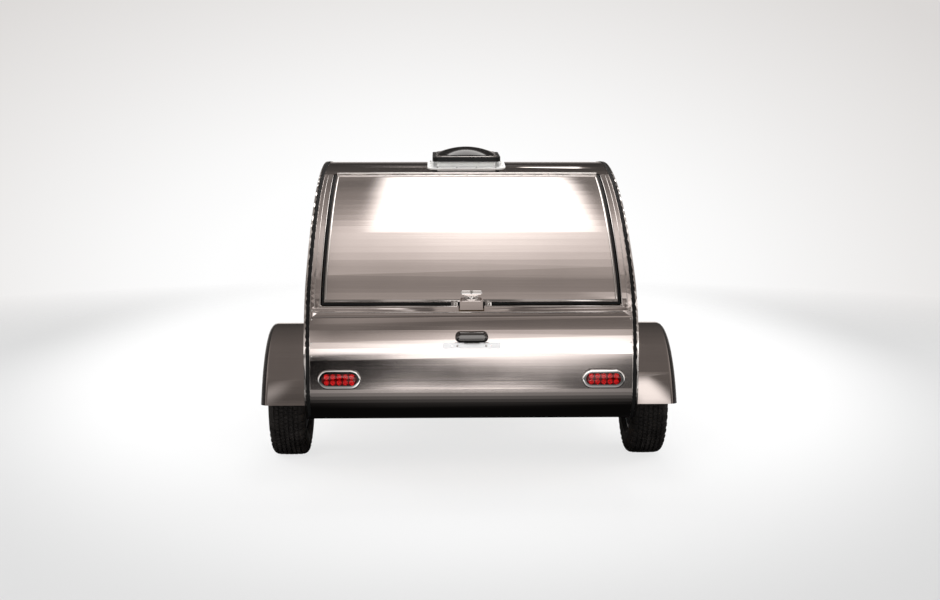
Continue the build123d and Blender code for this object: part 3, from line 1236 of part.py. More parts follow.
def pillow(inset):
    """Dome on the lid as one solid, arched across and along, set in by inset all round."""
    half = DOME / 2 - inset
    over = half + SEAM
    sections = []
    for along, sagitta in ((-over, DOME_END_RISE), (0, DOME_RISE), (over, DOME_END_RISE)):
        origin = VENT_PLANE.from_local_coords((0, along, LID_TOP))
        with BuildSketch(Plane(origin=origin, x_dir=(1, 0, 0), z_dir=-VENT_PLANE.y_dir)) as section:
            with BuildLine():
                Line((-over, -DOME_FOOT), (over, -DOME_FOOT))
                Line((over, -DOME_FOOT), (over, DOME_FOOT))
                ThreePointArc((over, DOME_FOOT), (0, DOME_FOOT + sagitta - inset), (-over, DOME_FOOT))
                Line((-over, DOME_FOOT), (-over, -DOME_FOOT))
            make_face()
        sections.append(section.sketch)
    with BuildPart() as block:
        loft(sections)
        with BuildSketch(VENT_PLANE.offset(LID_TOP)):
            RectangleRounded(2 * half, 2 * half, DOME_R - inset)
        extrude(amount=FAR, mode=Mode.INTERSECT)
    return block.part


with BuildPart() as dome:
    add(pillow(0.0))
    add(pillow(DOME_WALL), mode=Mode.SUBTRACT)
save("vent_dome", dome.part)

# Gas struts: the foot turns on a bracket on the side wall, the rod's eye lies beside a stud on the hatch
STRUT_EYE = tail_skin(STRUT_EYE_D, STRUT_EYE_DEPTH)


def turned_with_hatch(point, turn):
    """Where a side-view point of the closed hatch lies once the hatch has opened by turn degrees."""
    along, up = point[0] - HINGE_AXIS[0], point[1] - HINGE_AXIS[1]
    opened = radians(turn)
    return (
        HINGE_AXIS[0] + along * cos(opened) + up * sin(opened),
        HINGE_AXIS[1] - along * sin(opened) + up * cos(opened),
    )


def strut_pose(turn):
    """Length of a strut and its angle above level, with the hatch opened by turn degrees."""
    eye = turned_with_hatch(STRUT_EYE, turn)
    reach, rise = eye[0] - STRUT_FOOT[0], eye[1] - STRUT_FOOT[1]
    return hypot(reach, rise), degrees(atan2(rise, reach))


STRUT_CLOSED, STRUT_ANGLE = strut_pose(0)
STRUT_OPENED, STRUT_OPENED_ANGLE = strut_pose(HATCH_OPEN)
STROKE = STRUT_OPENED - STRUT_CLOSED
CYLINDER_END = STRUT_CLOSED - STRUT_HEAD
ROD_START = CYLINDER_END - STROKE - 8
STRUT_U = (cos(radians(STRUT_ANGLE)), sin(radians(STRUT_ANGLE)))


def strut_plane(along):
    """Plane square to the strut at a distance from its foot."""
    return Plane(
        origin=(STRUT_X, TAIL_Y + STRUT_FOOT[0] + along * STRUT_U[0], STRUT_FOOT[1] + along * STRUT_U[1]),
        x_dir=(1, 0, 0),
        z_dir=(0, STRUT_U[0], STRUT_U[1]),
    )


with BuildPart() as cylinder:
    with BuildSketch(side_plane(STRUT_X - EYE_HALF)):
        with Locations(STRUT_FOOT):
            Circle(EYE_R)
    extrude(amount=2 * EYE_HALF)
    with BuildSketch(strut_plane(0)):
        Circle(STRUT_NECK_R)
    extrude(amount=STRUT_NECK)
    with BuildSketch(strut_plane(STRUT_NECK)):
        Circle(STRUT_R)
    extrude(amount=CYLINDER_END - STRUT_NECK)
    with BuildSketch(side_plane(STRUT_X - EYE_R)):
        with Locations(STRUT_FOOT):
            Circle(EYE_PIN_R + SEAT)
    extrude(amount=2 * EYE_R, mode=Mode.SUBTRACT)
    with BuildSketch(strut_plane(ROD_START - 6)):
        Circle(ROD_R + SEAT)
    extrude(amount=STRUT_CLOSED, mode=Mode.SUBTRACT)
save_pair("strut_cylinder", cylinder.part)

with BuildPart() as rod:
    with BuildSketch(strut_plane(ROD_START)):
        Circle(ROD_R)
    extrude(amount=STRUT_CLOSED - ROD_START)
    with BuildSketch(side_plane(STRUT_X - EYE_HALF)):
        with Locations(STRUT_EYE):
            Circle(EYE_R)
    extrude(amount=2 * EYE_HALF)
    with BuildSketch(side_plane(STRUT_X - EYE_R)):
        with Locations(STRUT_EYE):
            Circle(EYE_PIN_R)
    extrude(amount=2 * EYE_R, mode=Mode.SUBTRACT)
save_pair("strut_rod", rod.part)

# Wall brackets with the pins that the struts' feet turn on
with BuildPart() as feet:
    with BuildSketch(side_plane(INNER - STRUT_PAD)):
        with Locations(STRUT_FOOT):
            RectangleRounded(STRUT_PAD_WIDTH, STRUT_PAD_HEIGHT, STRUT_PAD_R)
    extrude(amount=STRUT_PAD)
    with BuildSketch(side_plane(STRUT_X + EYE_HALF + STRUT_SIDE_GAP)):
        with Locations(STRUT_FOOT):
            Circle(EYE_R)
    extrude(amount=INNER - STRUT_X - EYE_HALF - STRUT_SIDE_GAP)
    with BuildSketch(side_plane(STRUT_X - EYE_HALF)):
        with Locations(STRUT_FOOT):
            Circle(EYE_PIN_R)
    extrude(amount=2 * EYE_HALF + STRUT_SIDE_GAP)
    mirror(about=Plane.YZ)
save("strut_feet", feet.part)

# Hatch studs beside the rods' eyes
with BuildPart() as studs:
    with BuildSketch(side_plane(STRUT_X + EYE_HALF + STRUT_SIDE_GAP)):
        with Locations(STRUT_EYE):
            Circle(EYE_R)
        polygon(
            (
                tail_skin(STRUT_EYE_D - EYE_R, STRUT_EYE_DEPTH),
                tail_skin(STRUT_EYE_D - 2 * EYE_R, 0),
                tail_skin(STRUT_EYE_D + 2 * EYE_R, 0),
                tail_skin(STRUT_EYE_D + EYE_R, STRUT_EYE_DEPTH),
            )
        )
        teardrop(HATCH_THICK + SEAT, Mode.INTERSECT)
    extrude(amount=HATCH_HALF - STRUT_X - EYE_HALF - STRUT_SIDE_GAP - 2)
    mirror(about=Plane.YZ)
save("hatch_studs", studs.part)
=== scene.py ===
"""Looks of a teardrop trailer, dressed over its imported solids. Metres; +X right, +Y forwards, +Z up."""

import json
import logging
import math
from collections.abc import Callable, Iterable, Iterator, Sequence
from contextlib import contextmanager
from dataclasses import dataclass
from enum import Enum
from functools import cache

import bpy
from mathutils import Matrix, Vector


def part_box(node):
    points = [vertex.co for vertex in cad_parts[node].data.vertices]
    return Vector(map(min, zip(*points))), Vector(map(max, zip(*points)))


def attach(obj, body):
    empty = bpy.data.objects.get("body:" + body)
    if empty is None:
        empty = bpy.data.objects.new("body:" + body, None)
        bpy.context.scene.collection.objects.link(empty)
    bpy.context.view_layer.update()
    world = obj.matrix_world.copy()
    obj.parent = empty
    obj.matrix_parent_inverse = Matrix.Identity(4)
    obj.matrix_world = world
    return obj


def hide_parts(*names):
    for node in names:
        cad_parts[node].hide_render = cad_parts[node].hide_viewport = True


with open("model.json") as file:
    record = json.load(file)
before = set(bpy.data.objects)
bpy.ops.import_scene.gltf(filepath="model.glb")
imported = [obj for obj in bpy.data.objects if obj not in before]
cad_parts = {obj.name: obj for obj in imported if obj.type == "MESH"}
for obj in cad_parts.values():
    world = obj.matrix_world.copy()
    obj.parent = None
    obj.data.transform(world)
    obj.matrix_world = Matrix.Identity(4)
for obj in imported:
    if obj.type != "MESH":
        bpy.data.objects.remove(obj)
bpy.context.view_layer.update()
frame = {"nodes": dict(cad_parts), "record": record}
NODES = frame["nodes"]
log = logging.getLogger("trailer")

Colour = tuple[float, float, float]
Point = tuple[float, float, float]
Pair = tuple[float, float]
Section = tuple[Pair, ...]
Piece = bpy.types.Object
Socket = bpy.types.NodeSocket
TAU = 2 * math.pi
UP = (0, 0, 1)
MERGE = 1e-6


class Side(Enum):
    """The trailer's two sides, by the sign of x."""

    LEFT = -1
    RIGHT = 1

    @property
    def label(self) -> str:
        """The side's name in the nodes' names."""
        return self.name.lower()

    def span(self, inner: float, outer: float) -> Pair:
        """The stretch of x between two distances from the middle, in rising order."""
        low, high = sorted((self.value * inner, self.value * outer))
        return low, high


class Grain(Enum):
    """Which way a brushed sheet was brushed, as the stretch of its streaks."""

    ACROSS = (1.5, 420.0, 420.0)
    LENGTHWISE = (420.0, 1.5, 420.0)


# Tools for shaping meshes


def deselect() -> None:
    """Leaves nothing selected, in object mode."""
    if bpy.context.mode != "OBJECT":
        bpy.ops.object.mode_set(mode="OBJECT")
    bpy.ops.object.select_all(action="DESELECT")


def activate(obj: Piece) -> None:
    """Makes obj the only selected and the active object."""
    deselect()
    obj.select_set(True)
    bpy.context.view_layer.objects.active = obj


def settle_transform(obj: Piece) -> None:
    """Moves the place, turn and scale of obj into its mesh."""
    activate(obj)
    bpy.ops.object.transform_apply(location=True, rotation=True, scale=True)


def primitive(add: Callable[..., object], scale: Point = (1, 1, 1), **settings: object) -> Piece:
    """Adds a primitive and moves its place and scale into its mesh."""
    deselect()
    add(**settings)
    obj = bpy.context.object
    obj.scale = scale
    settle_transform(obj)
    return obj


@contextmanager
def editing(obj: Piece, everything: bool = False) -> Iterator[None]:
    """Edit mode on obj, with all of it selected or with what was chosen in code."""
    activate(obj)
    bpy.ops.object.mode_set(mode="EDIT")
    if everything:
        bpy.ops.mesh.select_all(action="SELECT")
    yield
    bpy.ops.object.mode_set(mode="OBJECT")


def choose_faces(obj: Piece, test: Callable[[Vector, Vector], bool]) -> None:
    """Selects the faces whose centre and normal pass the test."""
    bpy.context.tool_settings.mesh_select_mode = (False, False, True)
    mesh = obj.data
    for elements in (mesh.vertices, mesh.edges):
        elements.foreach_set("select", [False] * len(elements))
    for face in mesh.polygons:
        face.select = test(face.center, face.normal)


def choose_points(obj: Piece, test: Callable[[Vector], bool]) -> None:
    """Selects the vertices whose place passes the test."""
    bpy.context.tool_settings.mesh_select_mode = (True, False, False)
    mesh = obj.data
    for elements in (mesh.polygons, mesh.edges):
        elements.foreach_set("select", [False] * len(elements))
    for vertex in mesh.vertices:
        vertex.select = test(vertex.co)


def modify(obj: Piece, kind: str, **settings: object) -> None:
    """Adds one modifier with its settings and applies it."""
    activate(obj)
    modifier = obj.modifiers.new(kind.title(), kind)
    for key, value in settings.items():
        setattr(modifier, key, value)
    bpy.ops.object.modifier_apply(modifier=modifier.name)


def soften(obj: Piece, width: float, segments: int = 2, angle: float = 35.0) -> None:
    """Rounds the edges of obj that are sharper than an angle in degrees."""
    limit = math.radians(angle)
    modify(obj, "BEVEL", width=width, segments=segments, limit_method="ANGLE", angle_limit=limit)


def rename(obj: Piece, name: str) -> Piece:
    """Names obj and its mesh."""
    obj.name = name
    obj.data.name = name
    return obj


def settle(obj: Piece, name: str, place: Matrix | None = None, angle: float = 35.0) -> Piece:
    """Puts obj in its place with the place in its mesh, smooths and names it.

    Args:
        obj: the piece, as modelled about the origin.
        name: its name.
        place: where it goes, or None where it already stands there.
        angle: edges flatter than this, in degrees, shade smooth.

    Returns:
        The same piece.
    """
    if place is not None:
        obj.matrix_world = place
    settle_transform(obj)
    bpy.ops.object.shade_smooth_by_angle(angle=math.radians(angle))
    return rename(obj, name)


def stand(origin: Point, out: Point, up: Point = UP) -> Matrix:
    """Place at origin whose own z points out and whose own y leans towards up."""
    z = Vector(out).normalized()
    x = Vector(up).cross(z).normalized()
    y = z.cross(x)
    turn = Matrix((x, y, z)).transposed().to_4x4()
    return Matrix.Translation(origin) @ turn


def slab(name: str, size: Point, place: Matrix, rounding: float = 0.0) -> Piece:
    """A box with rounded edges, its foot centred on its place."""
    obj = primitive(bpy.ops.mesh.primitive_cube_add, size, size=1, location=(0, 0, size[2] / 2))
    if rounding:
        soften(obj, rounding)
    return settle(obj, name, place)


def cylinder(radius: float, height: float, sides: int) -> Piece:
    """An upright cylinder that stands on the origin."""
    add = bpy.ops.mesh.primitive_cylinder_add
    return primitive(add, vertices=sides, radius=radius, depth=height, location=(0, 0, height / 2))


def stadium(name: str, size: Point, place: Matrix, rounding: float, sides: int = 46) -> Piece:
    """An oval block with round ends and rounded edges, its foot on its place."""
    width, height, depth = size
    obj = cylinder(height / 2, depth, sides)
    for side in Side:
        choose_points(obj, lambda co: co.x * side.value > MERGE)
        with editing(obj):
            bpy.ops.transform.translate(value=(side.value * (width - height) / 2, 0, 0))
    soften(obj, rounding, 3)
    return settle(obj, name, place)


def lathe(
    name: str,
    section: Sequence[Pair],
    place: Matrix,
    steps: int = 48,
    turn: float = TAU,
    closed: bool = True,
) -> Piece:
    """Spins a section about its place's own z.

    Args:
        name: the piece's name.
        section: points as (height along the axis, radius), in order round the section.
        place: where the axis stands.
        steps: faces round the axis.
        turn: how far the section is spun, in radians.
        closed: whether the section is a closed ring, or open with its ends on the axis.

    Returns:
        The piece, with its ends closed.
    """
    obj = primitive(bpy.ops.mesh.primitive_circle_add, vertices=len(section), radius=1)
    for vertex, (height, radius) in zip(obj.data.vertices, section):
        vertex.co = (radius, 0, height)
    if not closed:
        last = len(section) - 1
        bpy.context.tool_settings.mesh_select_mode = (False, True, False)
        for edge in obj.data.edges:
            edge.select = set(edge.vertices) == {0, last}
        with editing(obj):
            bpy.ops.mesh.delete(type="EDGE_FACE")
    with editing(obj, everything=True):
        bpy.ops.mesh.spin(steps=steps, angle=turn, center=(0, 0, 0), axis=UP)
        bpy.ops.mesh.select_all(action="SELECT")
        bpy.ops.mesh.remove_doubles(threshold=MERGE)
        if turn < TAU:
            bpy.ops.mesh.fill_holes(sides=0)
        bpy.ops.mesh.normals_make_consistent(inside=False)
    return settle(obj, name, place, 30)


def copies(model: Piece, name: str, places: Iterable[Matrix]) -> Piece:
    """Copies a small model to each place and joins the copies; the model itself is removed."""
    made = []
    for place in places:
        twin = model.copy()
        twin.data = model.data.copy()
        twin.data.transform(place)
        bpy.context.collection.objects.link(twin)
        made.append(twin)
    bpy.data.objects.remove(model)
    return joined(name, made)


def joined(name: str, pieces: Sequence[Piece]) -> Piece:
    """Joins pieces into the first one and names it."""
    activate(pieces[0])
    for piece in pieces:
        piece.select_set(True)
    if len(pieces) > 1:
        bpy.ops.object.join()
    return rename(bpy.context.view_layer.objects.active, name)


def mount(obj: Piece, body: str, finish: str, replaces: Sequence[str] = ()) -> Piece:
    """Gives a finished piece its body, finish and slot.

    Args:
        obj: the piece.
        body: the body that it rides on.
        finish: the finish's name in FINISHES.
        replaces: the nodes that it stands for.

    Returns:
        The same piece.
    """
    obj.data.materials.clear()
    obj.data.materials.append(material(finish))
    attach(obj, body)
    if replaces:
        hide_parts(*replaces)
    log.info("%s rides on %s, %d faces", obj.name, body, len(obj.data.polygons))
    return obj


# Finishes


class Tree:
    """Adds nodes to one node tree and links them."""

    def __init__(self, tree: bpy.types.NodeTree) -> None:
        """Starts from an empty tree."""
        self.nodes = tree.nodes
        self.links = tree.links
        self.nodes.clear()

    def add(self, kind: str, inputs: dict | None = None, **settings: object) -> bpy.types.Node:
        """Adds a node.

        Args:
            kind: the node's type, without the word ShaderNode where it starts so.
            inputs: values, or sockets to link from, by input name or number.
            settings: the node's own properties.

        Returns:
            The node.
        """
        node = self.nodes.new(kind if kind.startswith("Node") else "ShaderNode" + kind)
        for key, value in settings.items():
            setattr(node, key, value)
        for key, value in (inputs or {}).items():
            if isinstance(value, Socket):
                self.links.new(value, node.inputs[key])
            else:
                node.inputs[key].default_value = value
        return node

    def math(
        self, operation: str, first: Socket | float, second: Socket | float = 0.0, **settings: object
    ) -> Socket:
        """One sum or comparison of two values."""
        return self.add("Math", {0: first, 1: second}, operation=operation, **settings).outputs[0]

    def vector(
        self, operation: str, first: Socket | Point, second: Socket | Point = (0.0, 0.0, 0.0)
    ) -> Socket:
        """One sum of two vectors, as a vector."""
        return self.add("VectorMath", {0: first, 1: second}, operation=operation).outputs[0]

    def length(self, vector: Socket) -> Socket:
        """The length of a vector."""
        return self.add("VectorMath", {0: vector}, operation="LENGTH").outputs["Value"]

    def split(self, vector: Socket) -> bpy.types.NodeOutputs:
        """A vector's X, Y and Z."""
        return self.add("SeparateXYZ", {0: vector}).outputs

    def remap(self, value: Socket, source: Pair, target: Pair = (0.0, 1.0), smooth: bool = False) -> Socket:
        """Moves a value from one range to another and holds it there, with soft ends where smooth."""
        limits = dict(zip(("From Min", "From Max", "To Min", "To Max"), (*source, *target)))
        kind = "SMOOTHSTEP" if smooth else "LINEAR"
        return self.add("MapRange", {"Value": value, **limits}, interpolation_type=kind).outputs["Result"]

    def mix_colours(self, share: Socket, first: Socket | tuple, second: Socket | tuple) -> Socket:
        """Colour between two colours by a share from 0 to 1."""
        return self.add("Mix", {0: share, 6: first, 7: second}, data_type="RGBA").outputs[2]

    def mix_shaders(self, share: Socket, first: Socket, second: Socket) -> Socket:
        """Mixture of two shaders by a share from 0 to 1."""
        return self.add("MixShader", {"Fac": share, 1: first, 2: second}).outputs[0]

    def noise(self, place: Socket, scale: Socket | float, detail: float, roughness: float = 0.5) -> Socket:
        """Cloudy noise from 0 to 1."""
        inputs = {"Vector": place, "Scale": scale, "Detail": detail, "Roughness": roughness}
        return self.add("TexNoise", inputs).outputs["Fac"]


def shared_group(
    name: str, inputs: dict[str, str], outputs: Sequence[str] = ("Value", "Height")
) -> tuple[bpy.types.NodeTree, Tree, bpy.types.NodeOutputs]:
    """Makes a node group with nothing in it but its inputs.

    Args:
        name: the group's name.
        inputs: the kinds of its inputs, by name.
        outputs: the names of its outputs, which are all plain values.

    Returns:
        The group, its tree and what comes in by its inputs.
    """
    group = bpy.data.node_groups.new(name, "ShaderNodeTree")
    for label, kind in inputs.items():
        group.interface.new_socket(label, in_out="INPUT", socket_type="NodeSocket" + kind)
    for label in outputs:
        group.interface.new_socket(label, in_out="OUTPUT", socket_type="NodeSocketFloat")
    tree = Tree(group)
    return group, tree, tree.add("NodeGroupInput").outputs


@cache
def streaks_group() -> bpy.types.NodeTree:
    """Long fine streaks with a slower cloud over them, and the streaks alone as height."""
    group, tree, given = shared_group("streaks", {"Vector": "Vector", "Stretch": "Vector"})
    stretched = tree.vector("MULTIPLY", given["Vector"], given["Stretch"])
    fine = tree.noise(stretched, 1.0, 3.0, 0.6)
    slow = tree.noise(given["Vector"], 2.2, 4.0, 0.55)
    value = tree.remap(tree.math("MULTIPLY", fine, slow), (0.12, 0.4))
    tree.add("NodeGroupOutput", {"Value": value, "Height": fine})
    return group


@cache
def patina_group() -> bpy.types.NodeTree:
    """Uneven surface: a soft cloud, and a fine speckle as height."""
    group, tree, given = shared_group("patina", {"Vector": "Vector", "Scale": "Float"})
    cloud = tree.noise(given["Vector"], given["Scale"], 5.0)
    speck = tree.noise(given["Vector"], tree.math("MULTIPLY", given["Scale"], 22.0), 2.0)
    tree.add("NodeGroupOutput", {"Value": tree.remap(cloud, (0.3, 0.7)), "Height": speck})
    return group


@cache
def weave_group() -> bpy.types.NodeTree:
    """Plain weave: threads that cross over and under each other."""
    group, tree, given = shared_group("weave", {"Vector": "Vector", "Threads": "Float"}, ("Value",))
    inputs = {"Vector": given["Vector"], "Scale": given["Threads"]}
    waves = [tree.add("TexWave", inputs, bands_direction=axis).outputs["Fac"] for axis in "XY"]
    tree.add("NodeGroupOutput", {"Value": tree.math("MAXIMUM", *waves)})
    return group


class Surface:
    """A material in the making: one shader, patterned in the piece's own coordinates."""

    def __init__(self, name: str, base: Colour, fixed: dict[str, float]) -> None:
        """Starts with a plain colour and the values of the shader that nothing varies."""
        self.material = bpy.data.materials.new(name)
        self.material.use_nodes = True
        self.material.diffuse_color = (*base, 1)
        self.tree = Tree(self.material.node_tree)
        self.shader = self.tree.add("BsdfPrincipled", {"Base Color": (*base, 1), **fixed})
        self.tree.add("OutputMaterial", {"Surface": self.shader.outputs[0]})
        self.place = self.tree.add("TexCoord").outputs["Object"]

    def pattern(self, group: bpy.types.NodeTree, inputs: dict) -> bpy.types.NodeOutputs:
        """Lays a shared pattern over the piece and gives its outputs."""
        return self.tree.add("Group", {"Vector": self.place, **inputs}, node_tree=group).outputs

    def drive(self, label: str, value: Socket) -> None:
        """Lets a value vary one of the shader's inputs."""
        self.tree.links.new(value, self.shader.inputs[label])

    def gloss(self, share: Socket, limits: Pair) -> None:
        """Varies the roughness between its limits."""
        self.drive("Roughness", self.tree.remap(share, (0.0, 1.0), limits))

    def colours(self, share: Socket, dark: Colour, light: Colour) -> None:
        """Varies the colour between dark and light."""
        self.drive("Base Color", self.tree.mix_colours(share, (*dark, 1), (*light, 1)))

    def tones(self, share: Socket, colour: Colour, dark: float, light: float) -> None:
        """Varies a colour between a darker and a lighter tone of itself."""
        ends = [tuple(min(1.0, channel * factor) for channel in colour) for factor in (dark, light)]
        self.colours(share, *ends)

    def relief(self, height: Socket, strength: float, depth: float) -> None:
        """Raises the surface by a height from 0 to 1."""
        bump = self.tree.add("Bump", {"Height": height, "Strength": strength, "Distance": depth})
        self.drive("Normal", bump.outputs[0])


@dataclass(frozen=True)
class BrushedMetal:
    """Sheet metal brushed one way, then polished: fine streaks in colour, gloss and height."""

    colour: Colour
    rough: Pair
    grain: Grain = Grain.ACROSS
    anisotropy: float = 0.45
    relief: float = 0.06
    depth: float = 0.0004
    turn: float = 0.25
    dark: float = 0.93
    light: float = 1.06

    def make(self, name: str) -> bpy.types.Material:
        """Builds the material."""
        fixed = {"Metallic": 1.0, "Anisotropic": self.anisotropy, "Anisotropic Rotation": self.turn}
        surface = Surface(name, self.colour, fixed)
        streaks = surface.pattern(streaks_group(), {"Stretch": self.grain.value})
        surface.gloss(streaks["Value"], self.rough)
        surface.tones(streaks["Value"], self.colour, self.dark, self.light)
        surface.relief(streaks["Height"], self.relief, self.depth)
        return surface.material


@dataclass(frozen=True)
class Coated:
    """Paint, plastic, rubber, chrome or bare metal: uneven gloss and tone, with a fine grain."""

    colour: Colour
    rough: Pair
    metallic: float = 0.0
    coat: float = 0.0
    scale: float = 6.0
    tone: float = 0.12
    relief: float = 0.05
    grain: float = 0.0003
    shine: float = 0.5
    coat_rough: float = 0.05

    def make(self, name: str) -> bpy.types.Material:
        """Builds the material."""
        fixed = {"Metallic": self.metallic, "Specular IOR Level": self.shine}
        fixed |= {"Coat Weight": self.coat, "Coat Roughness": self.coat_rough}
        surface = Surface(name, self.colour, fixed)
        patina = surface.pattern(patina_group(), {"Scale": self.scale})
        surface.gloss(patina["Value"], self.rough)
        surface.tones(patina["Value"], self.colour, 1 - self.tone, 1 + self.tone)
        surface.relief(patina["Height"], self.relief, self.grain)
        return surface.material


@dataclass(frozen=True)
class Clear:
    """Glass or clear plastic with a tint."""

    colour: Colour
    rough: float
    ior: float = 1.5
    transmission: float = 1.0
    coat: float = 0.3
    uneven: float = 0.04
    scale: float = 9.0

    def make(self, name: str) -> bpy.types.Material:
        """Builds the material."""
        fixed = {"Roughness": self.rough, "IOR": self.ior}
        fixed |= {"Transmission Weight": self.transmission, "Coat Weight": self.coat}
        surface = Surface(name, self.colour, fixed)
        patina = surface.pattern(patina_group(), {"Scale": self.scale})
        surface.gloss(patina["Value"], (self.rough, self.rough + self.uneven))
        return surface.material


@dataclass(frozen=True)
class Plywood:
    """Varnished birch ply with its grain along one axis."""

    stretch: Point
    dark: Colour = (0.38, 0.24, 0.13)
    light: Colour = (0.62, 0.45, 0.27)
    varnish: float = 0.35
    varnish_rough: float = 0.2
    rough: Pair = (0.5, 0.35)
    relief: float = 0.15
    depth: float = 0.0004

    def make(self, name: str) -> bpy.types.Material:
        """Builds the material."""
        fixed = {"Coat Weight": self.varnish, "Coat Roughness": self.varnish_rough}
        surface = Surface(name, self.light, fixed)
        streaks = surface.pattern(streaks_group(), {"Stretch": self.stretch})
        surface.gloss(streaks["Value"], self.rough)
        surface.colours(streaks["Value"], self.dark, self.light)
        surface.relief(streaks["Height"], self.relief, self.depth)
        return surface.material


@dataclass(frozen=True)
class Cloth:
    """Woven cover with a soft sheen, worn darker in patches."""

    dark: Colour
    light: Colour
    threads: float
    rough: float = 0.9
    sheen: float = 0.3
    patches: float = 3.0
    worn: float = 0.55
    relief: float = 0.4
    depth: float = 0.0006

    def make(self, name: str) -> bpy.types.Material:
        """Builds the material."""
        surface = Surface(name, self.light, {"Roughness": self.rough, "Sheen Weight": self.sheen})
        weave = surface.pattern(weave_group(), {"Threads": self.threads})["Value"]
        patina = surface.pattern(patina_group(), {"Scale": self.patches})["Value"]
        wear = surface.tree.remap(patina, (0.0, 1.0), (self.worn, 1.0))
        surface.colours(surface.tree.math("MULTIPLY", weave, wear), self.dark, self.light)
        surface.relief(weave, self.relief, self.depth)
        return surface.material


STEEL_GREY = (0.52, 0.47, 0.45)
FINISHES = {
    "skin_across": BrushedMetal(STEEL_GREY, (0.07, 0.115)),
    "skin_along": BrushedMetal(STEEL_GREY, (0.09, 0.14), Grain.LENGTHWISE),
    "trim_metal": BrushedMetal((0.62, 0.59, 0.57), (0.12, 0.2), Grain.LENGTHWISE, 0.2, 0.03),
    "hinge_steel": BrushedMetal((0.7, 0.67, 0.65), (0.16, 0.24), Grain.ACROSS, 0.2, 0.04),
    "chrome": Coated((0.8, 0.79, 0.78), (0.03, 0.07), metallic=1.0, tone=0.04, relief=0.01),
    # Licence lamp's chrome: its colour is painted near black so that it shows the dark surroundings it
    # mirrors, a painted dark reflection.
    "dark_chrome": Coated((0.1, 0.097, 0.095), (0.04, 0.09), metallic=1.0, tone=0.06, relief=0.01),
    "screw_steel": Coated((0.55, 0.54, 0.52), (0.18, 0.3), metallic=1.0, tone=0.08, relief=0.02),
    "zinc": Coated((0.52, 0.53, 0.54), (0.28, 0.48), metallic=1.0, scale=30.0, tone=0.14, relief=0.06),
    "silver_paint": Coated((0.55, 0.55, 0.56), (0.25, 0.36), metallic=0.75, coat=0.5, scale=12.0, tone=0.06),
    "cast_iron": Coated((0.16, 0.155, 0.15), (0.5, 0.7), metallic=0.8, scale=25.0, tone=0.25, relief=0.25),
    "frame_paint": Coated(
        (0.022, 0.022, 0.024), (0.28, 0.45), coat=0.25, scale=9.0, tone=0.3, relief=0.08, shine=0.35
    ),
    "black_rubber": Coated((0.006, 0.006, 0.006), (0.42, 0.6), scale=20.0, tone=0.3, relief=0.08, shine=0.12),
    "edge_black": Coated((0.01, 0.0085, 0.008), (0.2, 0.3), scale=16.0, tone=0.3, relief=0.04, shine=0.3),
    "tyre_rubber": Coated(
        (0.0155, 0.0135, 0.0125), (0.62, 0.8), scale=14.0, tone=0.4, relief=0.25, grain=0.0006, shine=0.15
    ),
    "black_plastic": Coated((0.004, 0.004, 0.004), (0.2, 0.34), scale=14.0, tone=0.2, relief=0.1, shine=0.15),
    "white_plastic": Coated((0.84, 0.83, 0.81), (0.35, 0.48), scale=10.0, tone=0.04, relief=0.06),
    "pale_plate": Coated((0.8, 0.79, 0.79), (0.4, 0.55), scale=12.0, tone=0.05, relief=0.04),
    "smoke": Clear((0.004, 0.004, 0.004), 0.05, 1.25, 0.5, 0.0),
    "tinted_glass": Clear((0.24, 0.26, 0.26), 0.01),
    "lamp_glass": Clear((0.9, 0.9, 0.88), 0.02),
    "red_lens": Clear((0.8, 0.02, 0.03), 0.02, 1.4, 1.0, 0.0),
    "red_base": Coated((0.1, 0.004, 0.006), (0.4, 0.5), scale=60.0, tone=0.15, relief=0.02),
    "red_led": Coated(
        (0.95, 0.16, 0.14), (0.12, 0.2), metallic=0.3, coat=1.0, scale=60.0, tone=0.1, relief=0.02
    ),
    "insect_mesh": Coated((0.08, 0.08, 0.085), (0.4, 0.5), metallic=0.5, scale=80.0, tone=0.3),
    "board": Plywood((1.2, 34.0, 34.0)),
    "board_upright": Plywood((34.0, 34.0, 1.2)),
    "mattress_cloth": Cloth((0.3, 0.31, 0.32), (0.56, 0.56, 0.53), 330.0),
    "piping": Cloth((0.12, 0.13, 0.14), (0.24, 0.25, 0.26), 500.0),
}


@cache
def material(name: str) -> bpy.types.Material:
    """The material of that finish, made the first time it is asked for."""
    return FINISHES[name].make("finish_" + name)


NODE_FINISHES = {
    "skin_along": ("side_wall_left", "side_wall_right", "door_left", "door_right"),
    "hinge_steel": ("hatch_hinge_leaf", "hatch_hinge_roof_leaf", "door_hinge_leaves"),
    "chrome": ("hatch_handle", "door_fittings_left", "door_fittings_right"),
    "black_rubber": ("hatch_gasket", "edge_inserts"),
    "pale_plate": ("plate_bracket",),
    "board": ("floor", "galley_counter"),
    "board_upright": ("bulkheads", "galley_cabinet"),
    "frame_paint": ("chassis", "axle", "jack_bracket"),
    "zinc": ("coupler", "jack_tube", "jack_leg", "strut_feet", "hatch_studs"),
    "screw_steel": ("strut_rod_left", "strut_rod_right"),
    "black_plastic": (
        "strut_cylinder_left", "strut_cylinder_right", "vent_lid", "door_window_left", "door_window_right",
    ),
    "tinted_glass": ("door_glass_left", "door_glass_right"),
    "cast_iron": ("hub_left", "hub_right"),
    "white_plastic": ("vent_base",),
}
SMOOTH_COPIES = {
    "skin_across": (
        "roof_shell", "tail_panel", "hatch_surround", "hatch_panel", "fender_left", "fender_right",
    ),
    "trim_metal": ("edge_trims", "door_trims"),
    "chrome": ("tail_lamp_bezels",),
    # The licence lamp is chrome with a painted dark reflection in its colour.
    "dark_chrome": ("licence_lamp",),
    "silver_paint": ("rim_left", "rim_right"),
    "smoke": ("vent_dome",),
}
BODY_OF = {node: body for body, nodes in frame["record"]["behaviour"]["bodies"].items() for node in nodes}
FENDERS = ("fender_left", "fender_right")
FENDER_ROLL_X = 0.991
SHEET_MERGE = 1e-5
SHEET_ANGLE = 28.0


